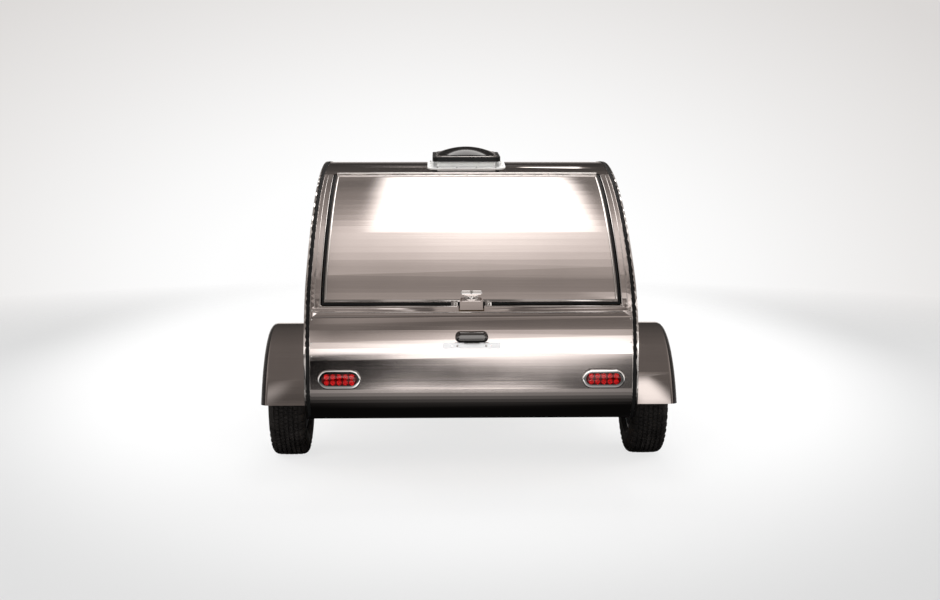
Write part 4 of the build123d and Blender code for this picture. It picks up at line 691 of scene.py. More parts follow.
def split_roll(fender: Piece) -> None:
    """Cuts a fender's faces along the line where its black outer roll starts."""
    for side in Side:
        with editing(fender, everything=True):
            bpy.ops.mesh.bisect(plane_co=(side.value * FENDER_ROLL_X, 0, 0), plane_no=(1, 0, 0))


def blacken_roll(fender: Piece) -> None:
    """Gives a fender's outer roll its black finish."""
    fender.data.materials.append(material("edge_black"))
    for face in fender.data.polygons:
        if abs(face.center.x) > FENDER_ROLL_X and face.normal.x * face.center.x > 0:
            face.material_index = 1


def smooth_copy(node: str, finish: str) -> None:
    """Stands a copy in for a CAD node, with its faces joined so that its curves mirror smoothly."""
    twin = NODES[node].copy()
    twin.data = NODES[node].data.copy()
    twin.parent = None
    for key in list(twin.keys()):
        del twin[key]
    bpy.context.collection.objects.link(twin)
    with editing(twin, everything=True):
        bpy.ops.mesh.remove_doubles(threshold=SHEET_MERGE)
    if node in FENDERS:
        split_roll(twin)
    settle(twin, node + "_sheet", angle=SHEET_ANGLE)
    mount(twin, BODY_OF[node], finish, [node])
    if node in FENDERS:
        blacken_roll(twin)


def dress_nodes() -> None:
    """Gives the CAD nodes their finishes, or a smooth copy where their curves mirror the studio."""
    for finish, nodes in NODE_FINISHES.items():
        for node in nodes:
            NODES[node].data.materials.clear()
            NODES[node].data.materials.append(material(finish))
    for finish, nodes in SMOOTH_COPIES.items():
        for node in nodes:
            smooth_copy(node, finish)


# Places on the skin, and small parts


EDGE_SHARE = 0.35


@dataclass(frozen=True)
class SkinCurve:
    """Side view of the tail and roof: two arcs that run into each other at one slope."""

    tail_y: float = -1.8635
    low_radius: float = 0.53
    low_z: float = 0.62
    crest_d: float = 1.4
    crest_z: float = 1.507
    level_normal: float = 0.9

    @property
    def turn(self) -> float:
        """Angle where the upper arc takes over."""
        rise = self.crest_z - self.low_z - self.low_radius
        return math.pi / 2 - 2 * math.atan(rise / (self.crest_d - self.low_radius))

    @property
    def high_radius(self) -> float:
        """Radius of the upper arc."""
        return self.low_radius + (self.crest_d - self.low_radius) / math.cos(self.turn)

    def at(self, d: float, x: float = 0.0, out: float = 0.0) -> tuple[Vector, Vector]:
        """Point of the skin at d ahead of the tail, and its normal, moved outwards by out."""
        join = self.low_radius * (1 - math.cos(self.turn))
        centre_d, centre_z, radius = self.crest_d, self.crest_z - self.high_radius, self.high_radius
        if d < join:
            centre_d, centre_z, radius = self.low_radius, self.low_z, self.low_radius
        along = (d - centre_d) / radius
        normal = Vector((0, along, math.sqrt(1 - along * along)))
        point = Vector((x, self.tail_y + centre_d, centre_z)) + normal * (radius + out)
        return point, normal

    def place(self, d: float, x: float = 0.0, out: float = 0.0) -> Matrix:
        """Place on the skin with its own z outwards and its own y up the slope."""
        point, normal = self.at(d, x, out)
        return stand(point, normal, (0, 1, 0) if normal.z > self.level_normal else UP)

    def d_at_height(self, z: float) -> float:
        """d of the lower arc at a height."""
        return self.low_radius - math.sqrt(self.low_radius**2 - (z - self.low_z) ** 2)

    def place_at_height(self, z: float, x: float = 0.0, out: float = 0.0) -> Matrix:
        """Place on the lower arc at a height."""
        return self.place(self.d_at_height(z), x, out)

    def strip(self, name: str, xs: Pair, ds: Pair, out: float, thick: float, steps: int = 64) -> Piece:
        """A flat strip bent to the skin between two x and two d, standing out from it."""
        add = bpy.ops.mesh.primitive_grid_add
        obj = primitive(add, x_subdivisions=1, y_subdivisions=steps, size=1)
        for vertex in obj.data.vertices:
            across, along = vertex.co.x + 0.5, vertex.co.y + 0.5
            x = xs[0] + (xs[1] - xs[0]) * across
            d = ds[0] + (ds[1] - ds[0]) * along
            vertex.co = self.at(d, x, out)[0]
        with editing(obj, everything=True):
            bpy.ops.mesh.normals_make_consistent(inside=False)
        if obj.data.polygons[0].normal.dot(self.at(ds[0])[1]) < 0:
            with editing(obj, everything=True):
                bpy.ops.mesh.flip_normals()
        modify(obj, "SOLIDIFY", thickness=thick, offset=1.0)
        soften(obj, EDGE_SHARE * thick)
        return settle(obj, name)


SKIN = SkinCurve()


@dataclass(frozen=True)
class Screw:
    """A pan-head screw with a cross in its head; its sizes are shares of the head's radius."""

    radius: float
    height: float = 0.55
    slope: float = 0.35
    crown: float = 0.2
    cross: float = 0.3
    depth: float = 0.35
    sides: int = 16

    def model(self) -> Piece:
        """The screw, standing on the origin."""
        obj = cylinder(self.radius, self.height * self.radius, self.sides)
        choose_faces(obj, lambda centre, normal: normal.z > 0.9)
        with editing(obj):
            bpy.ops.mesh.inset(thickness=self.slope * self.radius)
            bpy.ops.transform.translate(value=(0, 0, self.crown * self.radius))
            bpy.ops.mesh.inset(thickness=self.cross * self.radius)
            drop = (0, 0, -self.depth * self.radius)
            bpy.ops.mesh.extrude_region_move(TRANSFORM_OT_translate={"value": drop})
        return settle(obj, "screw", angle=40)


@dataclass(frozen=True)
class HexBolt:
    """A hexagon head on its round washer."""

    radius: float
    height: float
    washer_share: float = 0.18
    washer_radius: float = 1.25
    chamfer: float = 0.08

    def model(self) -> Piece:
        """The bolt, standing on the origin."""
        washer = cylinder(self.washer_radius * self.radius, self.washer_share * self.height, 24)
        head = cylinder(self.radius, self.height, 6)
        soften(head, self.chamfer * self.radius)
        return settle(joined("bolt", [head, washer]), "bolt")


def screws(
    name: str,
    radius: float,
    places: Iterable[Matrix],
    body: str,
    finish: str = "screw_steel",
) -> Piece:
    """Screws of one size in a row or ring, all on one body."""
    return mount(copies(Screw(radius).model(), name, places), body, finish)


def plate(name: str, size: Pair, thick: float, place: Matrix, corner: float, border: float = 0.0) -> Piece:
    """A flat plate with round corners, or with a border only its rim, its foot on its place."""
    obj = primitive(bpy.ops.mesh.primitive_plane_add, (*size, 1), size=1)
    with editing(obj, everything=True):
        bpy.ops.mesh.bevel(affect="VERTICES", offset=corner, offset_type="OFFSET", segments=8)
        if border:
            bpy.ops.mesh.select_all(action="SELECT")
            bpy.ops.mesh.inset(thickness=border)
            bpy.ops.mesh.delete(type="FACE")
    modify(obj, "SOLIDIFY", thickness=thick, offset=1.0)
    soften(obj, min(thick, border or thick) * 0.3)
    return settle(obj, name, place)


def ring_of(centre: Vector, out: Point, radius: float, count: int, height: float) -> list[Matrix]:
    """Places evenly round a circle that faces out, raised by height."""
    base = stand(centre, out)
    angles = [TAU * index / count for index in range(count)]
    return [base @ Matrix.Translation((radius * math.cos(a), radius * math.sin(a), height)) for a in angles]


# Sub-assemblies


@dataclass
class Wheel:
    """Road wheel: a tyre with five ribs of blocks, shoulder lugs, wheel nuts, a dust cap and a valve."""

    side: Side
    radius: float = 0.3075
    crown: float = 0.002
    crown_half: float = 0.062
    pitches: int = 88
    ribs: int = 5
    rib_foot: float = 0.288
    rib_width: float = 0.0185
    rib_step: float = 0.0235
    block: float = 0.0065
    hollow: float = 0.002
    hollow_border: float = 3.2
    lateral_gap: float = 0.0012
    lug: float = 0.0045
    lug_slope: float = 0.35
    shading: float = 32.0
    carcass: Section = (
        (-0.0655, 0.1655), (-0.0655, 0.1842), (-0.0760, 0.1872), (-0.0838, 0.1990), (-0.0868, 0.2005),
        (-0.0872, 0.2040), (-0.0868, 0.2070), (-0.0905, 0.2200), (-0.0940, 0.2400), (-0.0932, 0.2540),
        (-0.0900, 0.2680), (-0.0850, 0.2820), (-0.0760, 0.2940), (-0.0640, 0.2990),
    )
    carcass_top: float = 0.3
    bore: Section = ((0.0640, 0.2865), (0.0830, 0.2395), (0.0520, 0.1890), (0.0520, 0.1655))
    bore_top: float = 0.2905
    shoulder: Section = (
        (0.0610, 0.2960), (0.0610, 0.3005), (0.0700, 0.2985), (0.0785, 0.2925), (0.0850, 0.2820),
        (0.0820, 0.2800),
    )
    nut: HexBolt = HexBolt(0.0105, 0.017)
    nut_circle: float = 0.05715
    nuts: int = 5
    disc_face: float = 0.0061
    dust_cap: Section = (
        (0.0062, 0.0), (0.0062, 0.0365), (0.009, 0.0365), (0.0105, 0.0338), (0.036, 0.0336),
        (0.0425, 0.03), (0.0468, 0.02), (0.0478, 0.0),
    )
    valve: Section = (
        (0.0, 0.0), (0.0, 0.0055), (0.006, 0.0055), (0.010, 0.0038), (0.026, 0.0036), (0.026, 0.0045),
        (0.036, 0.0042), (0.036, 0.0),
    )
    valve_spot: Point = (0.0, 0.137, 0.036)

    @property
    def place(self) -> Matrix:
        """The wheel's centre, with its own z outwards along the spindle."""
        low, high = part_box("tyre_" + self.side.label)
        return stand((Vector(low) + Vector(high)) / 2, (self.side.value, 0, 0))

    def raise_blocks(self, ring: Piece, floor: float) -> None:
        """Turns a ring's outer faces into tread blocks with a shallow hollow each."""
        choose_faces(ring, lambda centre, normal: centre.xy.length > floor and abs(normal.z) < 0.9)
        with editing(ring):
            bpy.ops.mesh.inset(thickness=self.lateral_gap, use_individual=True)
            bpy.ops.mesh.extrude_faces_move(TRANSFORM_OT_shrink_fatten={"value": self.block})
            bpy.ops.mesh.inset(thickness=self.hollow_border * self.lateral_gap, use_individual=True)
            bpy.ops.transform.shrink_fatten(value=-self.hollow)

    def rib(self, index: int) -> Piece:
        """One rib of blocks, turned half a block against its neighbours."""
        x = (index - self.ribs // 2) * self.rib_step
        outer = self.radius - self.crown * (x / self.crown_half) ** 2 - self.block
        half = self.rib_width / 2
        section = ((x - half, self.rib_foot), (x - half, outer), (x + half, outer), (x + half, self.rib_foot))
        turn = Matrix.Rotation(TAU / self.pitches * (index % 2) / 2, 4, "Z")
        ring = lathe(f"rib_{index}", section, turn, self.pitches)
        self.raise_blocks(ring, outer - self.hollow)
        return ring

    def on_lug(self, centre: Vector, normal: Vector) -> bool:
        """Whether a shoulder's face looks outwards and isn't one of the few that stay low as gaps."""
        outwards = Vector((centre.x, centre.y, 0)).normalized()
        half_pitch = int(math.atan2(centre.y, centre.x) / TAU * self.pitches * 2 + self.pitches * 4)
        return normal.dot(outwards) > self.lug_slope and half_pitch % 4 != 0

    def lugs(self, hand: int) -> Piece:
        """The lugs over one shoulder."""
        section = [(hand * along, radius) for along, radius in self.shoulder]
        ring = lathe(f"shoulder_{hand}", section, Matrix(), self.pitches)
        choose_faces(ring, self.on_lug)
        with editing(ring):
            bpy.ops.mesh.extrude_region_shrink_fatten(TRANSFORM_OT_shrink_fatten={"value": self.lug})
            bpy.ops.mesh.select_all(action="SELECT")
            bpy.ops.mesh.remove_doubles(threshold=MERGE)
        return ring

    def tyre(self) -> Piece:
        """The whole tyre."""
        left, right = self.carcass, [(-along, radius) for along, radius in reversed(self.carcass)]
        inner = [(along, radius) for along, radius in reversed(self.bore)] + [(0.0, self.bore_top)]
        inner += [(-along, radius) for along, radius in self.bore]
        carcass = lathe("carcass", [*left, (0.0, self.carcass_top), *right, *inner], Matrix(), 120)
        parts = [carcass, *map(self.rib, range(self.ribs)), *map(self.lugs, (-1, 1))]
        for part in parts:
            settle(part, part.name, angle=self.shading)
        name = "tyre_tread_" + self.side.label
        return settle(joined(name, parts), name, self.place, self.shading)

    def build(self) -> None:
        """Makes the tyre and what is on the wheel."""
        label, body = self.side.label, "wheel_" + self.side.label
        mount(self.tyre(), body, "tyre_rubber", ["tyre_" + label])
        out = (self.side.value, 0, 0)
        nuts = ring_of(self.place.translation, out, self.nut_circle, self.nuts, self.disc_face)
        mount(copies(self.nut.model(), "wheel_nuts_" + label, nuts), body, "chrome")
        cap = lathe("dust_cap_" + label, self.dust_cap, self.place, 40, closed=False)
        mount(cap, body, "chrome")
        seat = self.place @ Matrix.Translation(self.valve_spot)
        valve = lathe("valve_" + label, self.valve, seat, 16, closed=False)
        mount(valve, body, "black_rubber")


@dataclass
class TailLamp:
    """Oval lamp: a clear red lens over ten diodes in cups, in a rubber seat."""

    side: Side
    reach: float = 0.0198
    width: float = 0.160
    height: float = 0.052
    rounding: float = 0.006
    columns: int = 5
    step: float = 0.0285
    row: float = 0.0122
    cup: float = 0.0112
    cup_foot: float = 0.005
    cup_shares: Section = (
        (0.0, 0.0), (0.0, 1.0), (0.0065, 1.0), (0.0065, 0.8), (0.0035, 0.45), (0.0075, 0.3), (0.0095, 0.0),
    )
    base_gap: float = 0.006
    base: float = 0.004
    base_foot: float = 0.001
    seat_rim: Pair = (0.038, 0.040)
    seat: float = 0.0035

    def block(self, name: str, grow: Pair, depth: float, place: Matrix, rounding: float) -> Piece:
        """An oval block of the lens's outline, larger by grow."""
        size = (self.width + grow[0], self.height + grow[1], depth)
        return stadium(name + self.side.label, size, place, rounding)

    def build(self) -> None:
        """Makes the lens, the diodes, their base and the seat."""
        low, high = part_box("tail_lamp_lenses")
        x = self.side.value * (high[0] - self.width / 2)
        place = stand((x, high[1], (low[2] + high[2]) / 2), (0, -1, 0))
        lens = self.block("lens_", (0.0, 0.0), self.reach, place, self.rounding)
        mount(lens, "trailer", "red_lens", ["tail_lamp_lenses"])
        middle = (self.columns - 1) / 2
        spots = [
            place @ Matrix.Translation(((column - middle) * self.step, hand * self.row, self.cup_foot))
            for column in range(self.columns)
            for hand in (-1, 1)
        ]
        section = [(height, share * self.cup) for height, share in self.cup_shares]
        cup = lathe("cup", section, Matrix(), 20, closed=False)
        mount(copies(cup, "diodes_" + self.side.label, spots), "trailer", "red_led")
        foot = place @ Matrix.Translation((0, 0, self.base_foot))
        base = self.block("lamp_base_", (-self.base_gap, -self.base_gap), self.base, foot, 0.0005)
        mount(base, "trailer", "red_base")
        seat = self.block("lamp_seat_", self.seat_rim, self.seat, place, 0.001)
        mount(seat, "trailer", "black_rubber")


@dataclass
class HatchTrim:
    """The hatch's edging, its surround's beads, gasket clips, hinge screws, lock barrel and lining."""

    half: float = 0.675
    bottom_z: float = 0.881
    edge: float = 0.0115
    proud: float = 0.002
    seat: float = 0.0003
    level_seat: float = 0.0004
    tab_half: float = 0.053
    hinge_d: float = 0.941
    hinge_pitch: float = 0.071
    leaf_screw: float = 0.020
    leaf_top: float = 0.0023
    leaf_end: float = 0.034
    surround_half: float = 0.721
    surround_z: float = 0.834
    opening_half: float = 0.692
    opening_z: float = 0.864
    notch_half: float = 0.066
    bead: float = 0.0045
    seam_bead: float = 0.003
    bead_proud: float = 0.0016
    bead_end: float = 0.006
    clip: Point = (0.030, 0.027, 0.0032)
    clip_spot: Pair = (0.078, 0.874)
    clip_rounding: float = 0.0012
    latch_z: float = 0.905
    latch_reach: float = 0.0442
    barrel: Section = (
        (-0.002, 0.0), (-0.002, 0.0078), (0.0012, 0.0078), (0.0024, 0.0068), (0.0024, 0.0055),
        (0.0018, 0.005), (0.0018, 0.0),
    )
    keyhole: Point = (0.0016, 0.0064, 0.0022)
    lining_half: float = 0.640
    lining_ds: Pair = (0.13, 0.87)
    lining_out: float = -0.0336
    lining: float = 0.003
    edge_screw_x: float = 0.7305
    edge_screw_zs: tuple[float, ...] = (0.846, 0.806, 0.700, 0.640)

    def level(self, name: str, xs: Pair, z: float, height: float, proud: float) -> Piece:
        """A level strip across the tail."""
        place = SKIN.place_at_height(z, (xs[0] + xs[1]) / 2, self.level_seat)
        return slab(name, (xs[1] - xs[0], height, proud), place, proud * EDGE_SHARE)

    def edging(self) -> None:
        """Edging up both sides of the hatch and along its foot."""
        strips = []
        ds = (SKIN.d_at_height(self.bottom_z + 0.001), self.hinge_d - self.leaf_end)
        for side in Side:
            xs = side.span(self.half - self.edge, self.half)
            strips.append(SKIN.strip("edge_" + side.label, xs, ds, self.seat, self.proud))
            xs, z = side.span(self.tab_half, self.half), self.bottom_z + self.edge / 2
            strips.append(self.level("foot_" + side.label, xs, z, self.edge, self.proud))
        mount(joined("hatch_edging", strips), "hatch", "trim_metal")

    def bead_round(self, half: float, z: float, width: float, inner: float) -> list[Piece]:
        """A thin bead up both sides of the surround and along its foot, which starts at inner."""
        strips = []
        ds = (SKIN.d_at_height(z), self.hinge_d - self.bead_end)
        for side in Side:
            xs = side.span(half, half + width)
            strips.append(SKIN.strip("bead", xs, ds, self.seat, self.bead_proud))
            xs = side.span(inner, half + width)
            strips.append(self.level("bead", xs, z - width / 2, width, self.bead_proud))
        return strips

    def beads(self) -> None:
        """Two beads on the surround: one beside the gasket, one on its outer seam."""
        width = self.seam_bead
        strips = self.bead_round(self.opening_half, self.opening_z, self.bead, self.notch_half)
        strips += self.bead_round(self.surround_half - width, self.surround_z + width, width, 0.0)
        mount(joined("surround_beads", strips), "trailer", "trim_metal")

    def clips(self) -> None:
        """Screwed clips that hold the gasket's ends beside the tab."""
        x, z = self.clip_spot
        feet = [SKIN.place_at_height(z, side.value * x, self.level_seat) for side in Side]
        parts = [slab("clip", self.clip, foot, self.clip_rounding) for foot in feet]
        mount(joined("gasket_clips", parts), "hatch", "trim_metal")
        tops = [SKIN.place_at_height(z, side.value * x, self.level_seat + self.clip[2]) for side in Side]
        screws("gasket_clip_screws", 0.0055, tops, "hatch")

    def hinge_screws(self) -> None:
        """A row of screws in each leaf of the piano hinge."""
        count = 2 * int(self.half / self.hinge_pitch) + 1
        xs = [(index - (count - 1) / 2) * self.hinge_pitch for index in range(count)]
        for name, body, hand in (("roof_leaf_screws", "trailer", 1), ("hatch_leaf_screws", "hatch", -1)):
            places = [SKIN.place(self.hinge_d + hand * self.leaf_screw, x, self.leaf_top) for x in xs]
            screws(name, 0.0036, places, body)

    def lock(self) -> None:
        """Key barrel in the T-handle's face."""
        place = SKIN.place_at_height(self.latch_z, 0.0, self.latch_reach)
        barrel = lathe("lock_barrel", self.barrel, place, 32, closed=False)
        mount(barrel, "hatch", "screw_steel")
        mount(slab("keyhole", self.keyhole, place, 0.0003), "hatch", "black_plastic")

    def lining_sheet(self) -> None:
        """Plywood lining inside the hatch."""
        xs = (-self.lining_half, self.lining_half)
        lining = SKIN.strip("hatch_lining", xs, self.lining_ds, self.lining_out, self.lining)
        mount(lining, "hatch", "board")

    def edge_screws(self) -> None:
        """Small screws down the tail's edges."""
        spots = [(side.value * self.edge_screw_x, z) for side in Side for z in self.edge_screw_zs]
        screws("tail_edge_screws", 0.0034, [SKIN.place_at_height(z, x) for x, z in spots], "trailer")

    def build(self) -> None:
        """Makes all the trim."""
        self.edging()
        self.beads()
        self.clips()
        self.hinge_screws()
        self.lock()
        self.lining_sheet()
        self.edge_screws()


@dataclass
class TailFittings:
    """What the licence lamp and the plate bracket carry."""

    lamp_z: float = 0.729
    lamp_foot: float = 0.025
    lamp_y: float = -1.8815
    glass: Point = (0.074, 0.018, 0.004)
    glass_sunk: float = 0.001
    glass_rounding: float = 0.0012
    bracket_y: float = -1.8775
    bracket_z: float = 0.6895
    bracket_screw_x: float = 0.0655

    def build(self) -> None:
        """Makes the lamp's glass and the bracket's screws."""
        place = stand((0, self.lamp_y, self.lamp_z - self.lamp_foot + self.glass_sunk), (0, 0, -1), (0, 1, 0))
        glass = stadium("licence_glass", self.glass, place, self.glass_rounding)
        mount(glass, "trailer", "lamp_glass")
        xs = (-self.bracket_screw_x, self.bracket_screw_x)
        places = [stand((x, self.bracket_y, self.bracket_z), (0, -1, 0)) for x in xs]
        screws("bracket_screws", 0.0045, places, "trailer")


@dataclass
class RoofVent:
    """Vent: flange screws, a bead round the dome's foot, an insect mesh and the ring inside the cabin."""

    d: float = 1.26
    flange_half: float = 0.192
    flange_top: float = 0.0046
    screw_spread: tuple[float, ...] = (-0.155, -0.052, 0.052, 0.155)
    lid_top: float = 0.047
    dome: float = 0.311
    bead_reach: float = 0.012
    bead_thick: float = 0.005
    bead_corner: float = 0.044
    bead_border: float = 0.0065
    curb_clear: float = 0.294
    bar: float = 0.0007
    bars: int = 36
    mesh_drop: float = -0.018
    ring: Pair = (0.37, 0.37)
    ring_thick: float = 0.006
    ring_drop: float = -0.0315
    ring_corner: float = 0.03
    ring_border: float = 0.038

    def place(self, height: float) -> Matrix:
        """The roof at the vent, raised by height, with its own z outwards."""
        return SKIN.place(self.d) @ Matrix.Translation((0, 0, height))

    def flange_screws(self) -> None:
        """Screws along the flange's four sides."""
        rows = [(x, hand * self.flange_half) for hand in (-1, 1) for x in self.screw_spread]
        rows += [(hand * self.flange_half, y) for hand in (-1, 1) for y in self.screw_spread]
        places = [SKIN.place(self.d + y, x, self.flange_top) for x, y in rows]
        screws("vent_screws", 0.004, places, "trailer")

    def insect_mesh(self) -> None:
        """Crossed bars over the curb's opening."""
        step = self.curb_clear / self.bars
        spots = [
            SKIN.place(self.d)
            @ (
                Matrix.Rotation(turn, 4, "Z")
                @ Matrix.Translation((index * step - self.curb_clear / 2, 0, self.mesh_drop))
            )
            for turn in (0.0, TAU / 4)
            for index in range(1, self.bars)
        ]
        bar = slab("bar", (self.bar, self.curb_clear, self.bar), Matrix())
        mount(copies(bar, "insect_mesh", spots), "trailer", "insect_mesh")

    def build(self) -> None:
        """Makes what the vent's own pieces carry."""
        self.flange_screws()
        size = (self.dome + self.bead_reach, self.dome + self.bead_reach)
        top = self.place(self.lid_top)
        bead = plate("dome_bead", size, self.bead_thick, top, self.bead_corner, self.bead_border)
        mount(bead, "vent_lid", "trim_metal")
        self.insect_mesh()
        under = self.place(self.ring_drop)
        ring = plate("vent_ring", self.ring, self.ring_thick, under, self.ring_corner, self.ring_border)
        mount(ring, "trailer", "white_plastic")


@dataclass
class DoorTrim:
    """One door's small parts: seal, window bead and screws, hinge screws and the lock barrel."""

    side: Side
    d: float = 1.660
    z: float = 0.845
    opening: Pair = (0.650, 0.890)
    corner: float = 0.090
    seal: float = 0.012
    seal_x: float = 0.743
    seal_border: float = 0.0028
    window_d: float = 1.655
    window_z: float = 1.060
    window: Pair = (0.388, 0.288)
    window_corner: float = 0.054
    bead: float = 0.005
    bead_x: float = 0.7549
    bead_border: float = 0.007
    flange: Pair = (0.4245, 0.3245)
    flange_x: float = 0.7672
    upright_screws: tuple[float, ...] = (-0.09, 0.09)
    level_screws: tuple[float, ...] = (-0.14, 0.0, 0.14)
    hinge_zs: Pair = (0.560, 1.130)
    hinge_d: float = 1.990
    hinge_screws: tuple[float, ...] = (-0.024, 0.0, 0.024)
    leaf_spot: Pair = (-0.020, 0.7695)
    post_spot: Pair = (0.0155, 0.7692)
    barrel: Section = ((0.0, 0.0), (0.0, 0.008), (0.0025, 0.008), (0.0035, 0.007), (0.0035, 0.0))
    lock_spot: Point = (1.394, 0.752, 0.7702)

    def place(self, d: float, z: float, x: float) -> Matrix:
        """Place on the side, its own z outwards."""
        return stand((self.side.value * x, SKIN.tail_y + d, z), (self.side.value, 0, 0))

    def rubber(self) -> None:
        """The opening's seal and the bead that holds the window's glass."""
        label = self.side.label
        at = self.place(self.d, self.z, self.seal_x)
        seal = plate("door_seal_" + label, self.opening, self.seal, at, self.corner, self.seal_border)
        mount(seal, "trailer", "black_rubber")
        at = self.place(self.window_d, self.window_z, self.bead_x)
        bead = plate("window_bead_" + label, self.window, self.bead, at, self.window_corner, self.bead_border)
        mount(bead, "door_" + label, "black_rubber")

    def window_screws(self) -> None:
        """Screws round the window's flange."""
        half_width, half_height = self.flange[0] / 2, self.flange[1] / 2
        spots = [(hand * half_width, z) for hand in (-1, 1) for z in self.upright_screws]
        spots += [(d, hand * half_height) for hand in (-1, 1) for d in self.level_screws]
        places = [self.place(self.window_d + d, self.window_z + z, self.flange_x) for d, z in spots]
        screws("window_screws_" + self.side.label, 0.0036, places, "door_" + self.side.label)

    def leaf_screws(self, name: str, radius: float, spot: Pair, body: str) -> None:
        """Screws down one leaf of both hinges, at a distance ahead of the pin and out from the middle."""
        heights = [z + dz for z in self.hinge_zs for dz in self.hinge_screws]
        places = [self.place(self.hinge_d + spot[0], z, spot[1]) for z in heights]
        screws(name + self.side.label, radius, places, body)

    def build(self) -> None:
        """Makes the parts."""
        body = "door_" + self.side.label
        self.rubber()
        self.window_screws()
        self.leaf_screws("door_leaf_screws_", 0.0038, self.leaf_spot, body)
        self.leaf_screws("door_post_screws_", 0.0036, self.post_spot, "trailer")
        name = "door_lock_" + self.side.label
        lock = lathe(name, self.barrel, self.place(*self.lock_spot), 28, closed=False)
        mount(lock, body, "screw_steel")


@dataclass
class FenderTrim:
    """The welting between one fender and the body."""

    side: Side
    radius: float = 0.500
    centre_d: float = 0.820
    centre_z: float = 0.182
    foot_z: float = 0.345
    side_x: float = 0.7625
    welt: float = 0.003
    welt_out: float = 0.0035
    welt_proud: float = 0.0022
    welt_steps: int = 8

    def build(self) -> None:
        """Bends a round bead over the fender from one foot to the other."""
        middle = (self.side_x + self.welt_out, self.radius + self.welt_proud)
        turns = [TAU * step / self.welt_steps for step in range(self.welt_steps)]
        bead = [(middle[0] + self.welt * math.cos(a), middle[1] + self.welt * math.sin(a)) for a in turns]
        start = math.asin((self.foot_z - self.centre_z) / self.radius)
        obj = lathe("welting", bead, Matrix(), 72, math.pi - 2 * start)
        mean = sum((vertex.co for vertex in obj.data.vertices), Vector()) / len(obj.data.vertices)
        turn = Matrix.Rotation(math.pi / 2 - math.atan2(mean.y, mean.x), 4, "Z")
        place = stand((0, SKIN.tail_y + self.centre_d, self.centre_z), (self.side.value, 0, 0))
        settle(obj, "fender_welting_" + self.side.label, place @ turn, 30)
        mount(obj, "trailer", "black_rubber")


@dataclass
class Mattress:
    """Foam mattress in a woven cover, with piping round its top and foot."""

    inset: float = 0.012
    rounding: float = 0.03
    voxel: float = 0.016
    pressure: float = 4.0
    frames: int = 20
    cap: float = 0.010
    floor_gap: float = 0.0005
    tufts: tuple[int, int] = (3, 4)
    tuft_depth: float = 0.014
    tuft_radius: float = 0.045
    piping: float = 0.0045
    piping_border: float = 2.4
    piping_inset: float = 0.005
    piping_corner: float = 0.030
    piping_drops: Pair = (0.034, 0.118)
    piping_foot: float = 0.012

    def build(self) -> None:
        """Makes the mattress."""
        low, high = (Vector(corner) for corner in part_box("mattress"))
        size = high - low
        scale = (size.x - 2 * self.inset, size.y - 2 * self.inset, size.z - self.inset)
        pad = primitive(bpy.ops.mesh.primitive_cube_add, scale, size=1, location=(low + high) / 2)
        soften(pad, self.rounding, 4)
        modify(pad, "REMESH", mode="VOXEL", voxel_size=self.voxel)
        self.swell(pad)
        self.tuft(pad, low, high)
        for vertex in pad.data.vertices:
            vertex.co.z = max(vertex.co.z, low.z + self.floor_gap)
        modify(pad, "SUBSURF", levels=1, render_levels=1)
        settle(pad, "mattress_pad", angle=60)
        mount(pad, "trailer", "mattress_cloth", ["mattress"])
        self.trim(low, high)

    def trim(self, low: Vector, high: Vector) -> None:
        """Sews a round of piping along the top and the foot."""
        outline = (high.x - low.x - 2 * self.piping_inset, high.y - low.y - 2 * self.piping_inset)
        deepest = high.z - low.z - self.piping_foot
        border = self.piping_border * self.piping
        rounds = []
        for drop in self.piping_drops:
            spot = ((low.x + high.x) / 2, (low.y + high.y) / 2, high.z - min(drop, deepest))
            place = Matrix.Translation(spot)
            rounds.append(plate("piping", outline, 2 * self.piping, place, self.piping_corner, border))
        mount(joined("mattress_piping", rounds), "trailer", "piping")

    def swell(self, pad: Piece) -> None:
        """Lets the cover swell under pressure, and caps how far a point moves."""
        rest = [vertex.co.copy() for vertex in pad.data.vertices]
        activate(pad)
        cloth = pad.modifiers.new("Cover", "CLOTH")
        cloth.settings.use_pressure = True
        cloth.settings.uniform_pressure_force = self.pressure
        cloth.settings.effector_weights.gravity = 0
        cloth.point_cache.frame_start = 1
        cloth.point_cache.frame_end = self.frames
        for step in range(1, self.frames + 1):
            bpy.context.scene.frame_set(step)
        bpy.ops.object.modifier_apply(modifier=cloth.name)
        bpy.context.scene.frame_set(1)
        for vertex, start in zip(pad.data.vertices, rest):
            moved = vertex.co - start
            if moved.length > self.cap:
                vertex.co = start + moved * (self.cap / moved.length)

    def tuft(self, pad: Piece, low: Vector, high: Vector) -> None:
        """Presses shallow dimples into the top, in rows."""
        across, along = self.tufts
        spots = [
            (low.x + (i + 0.5) * (high.x - low.x) / across, low.y + (j + 0.5) * (high.y - low.y) / along)
            for i in range(across)
            for j in range(along)
        ]
        for vertex in pad.data.vertices:
            if vertex.co.z < (low.z + high.z) / 2:
                continue
            for x, y in spots:
                gap = math.hypot(vertex.co.x - x, vertex.co.y - y)
                vertex.co.z -= self.tuft_depth * math.exp(-((gap / self.tuft_radius) ** 2))


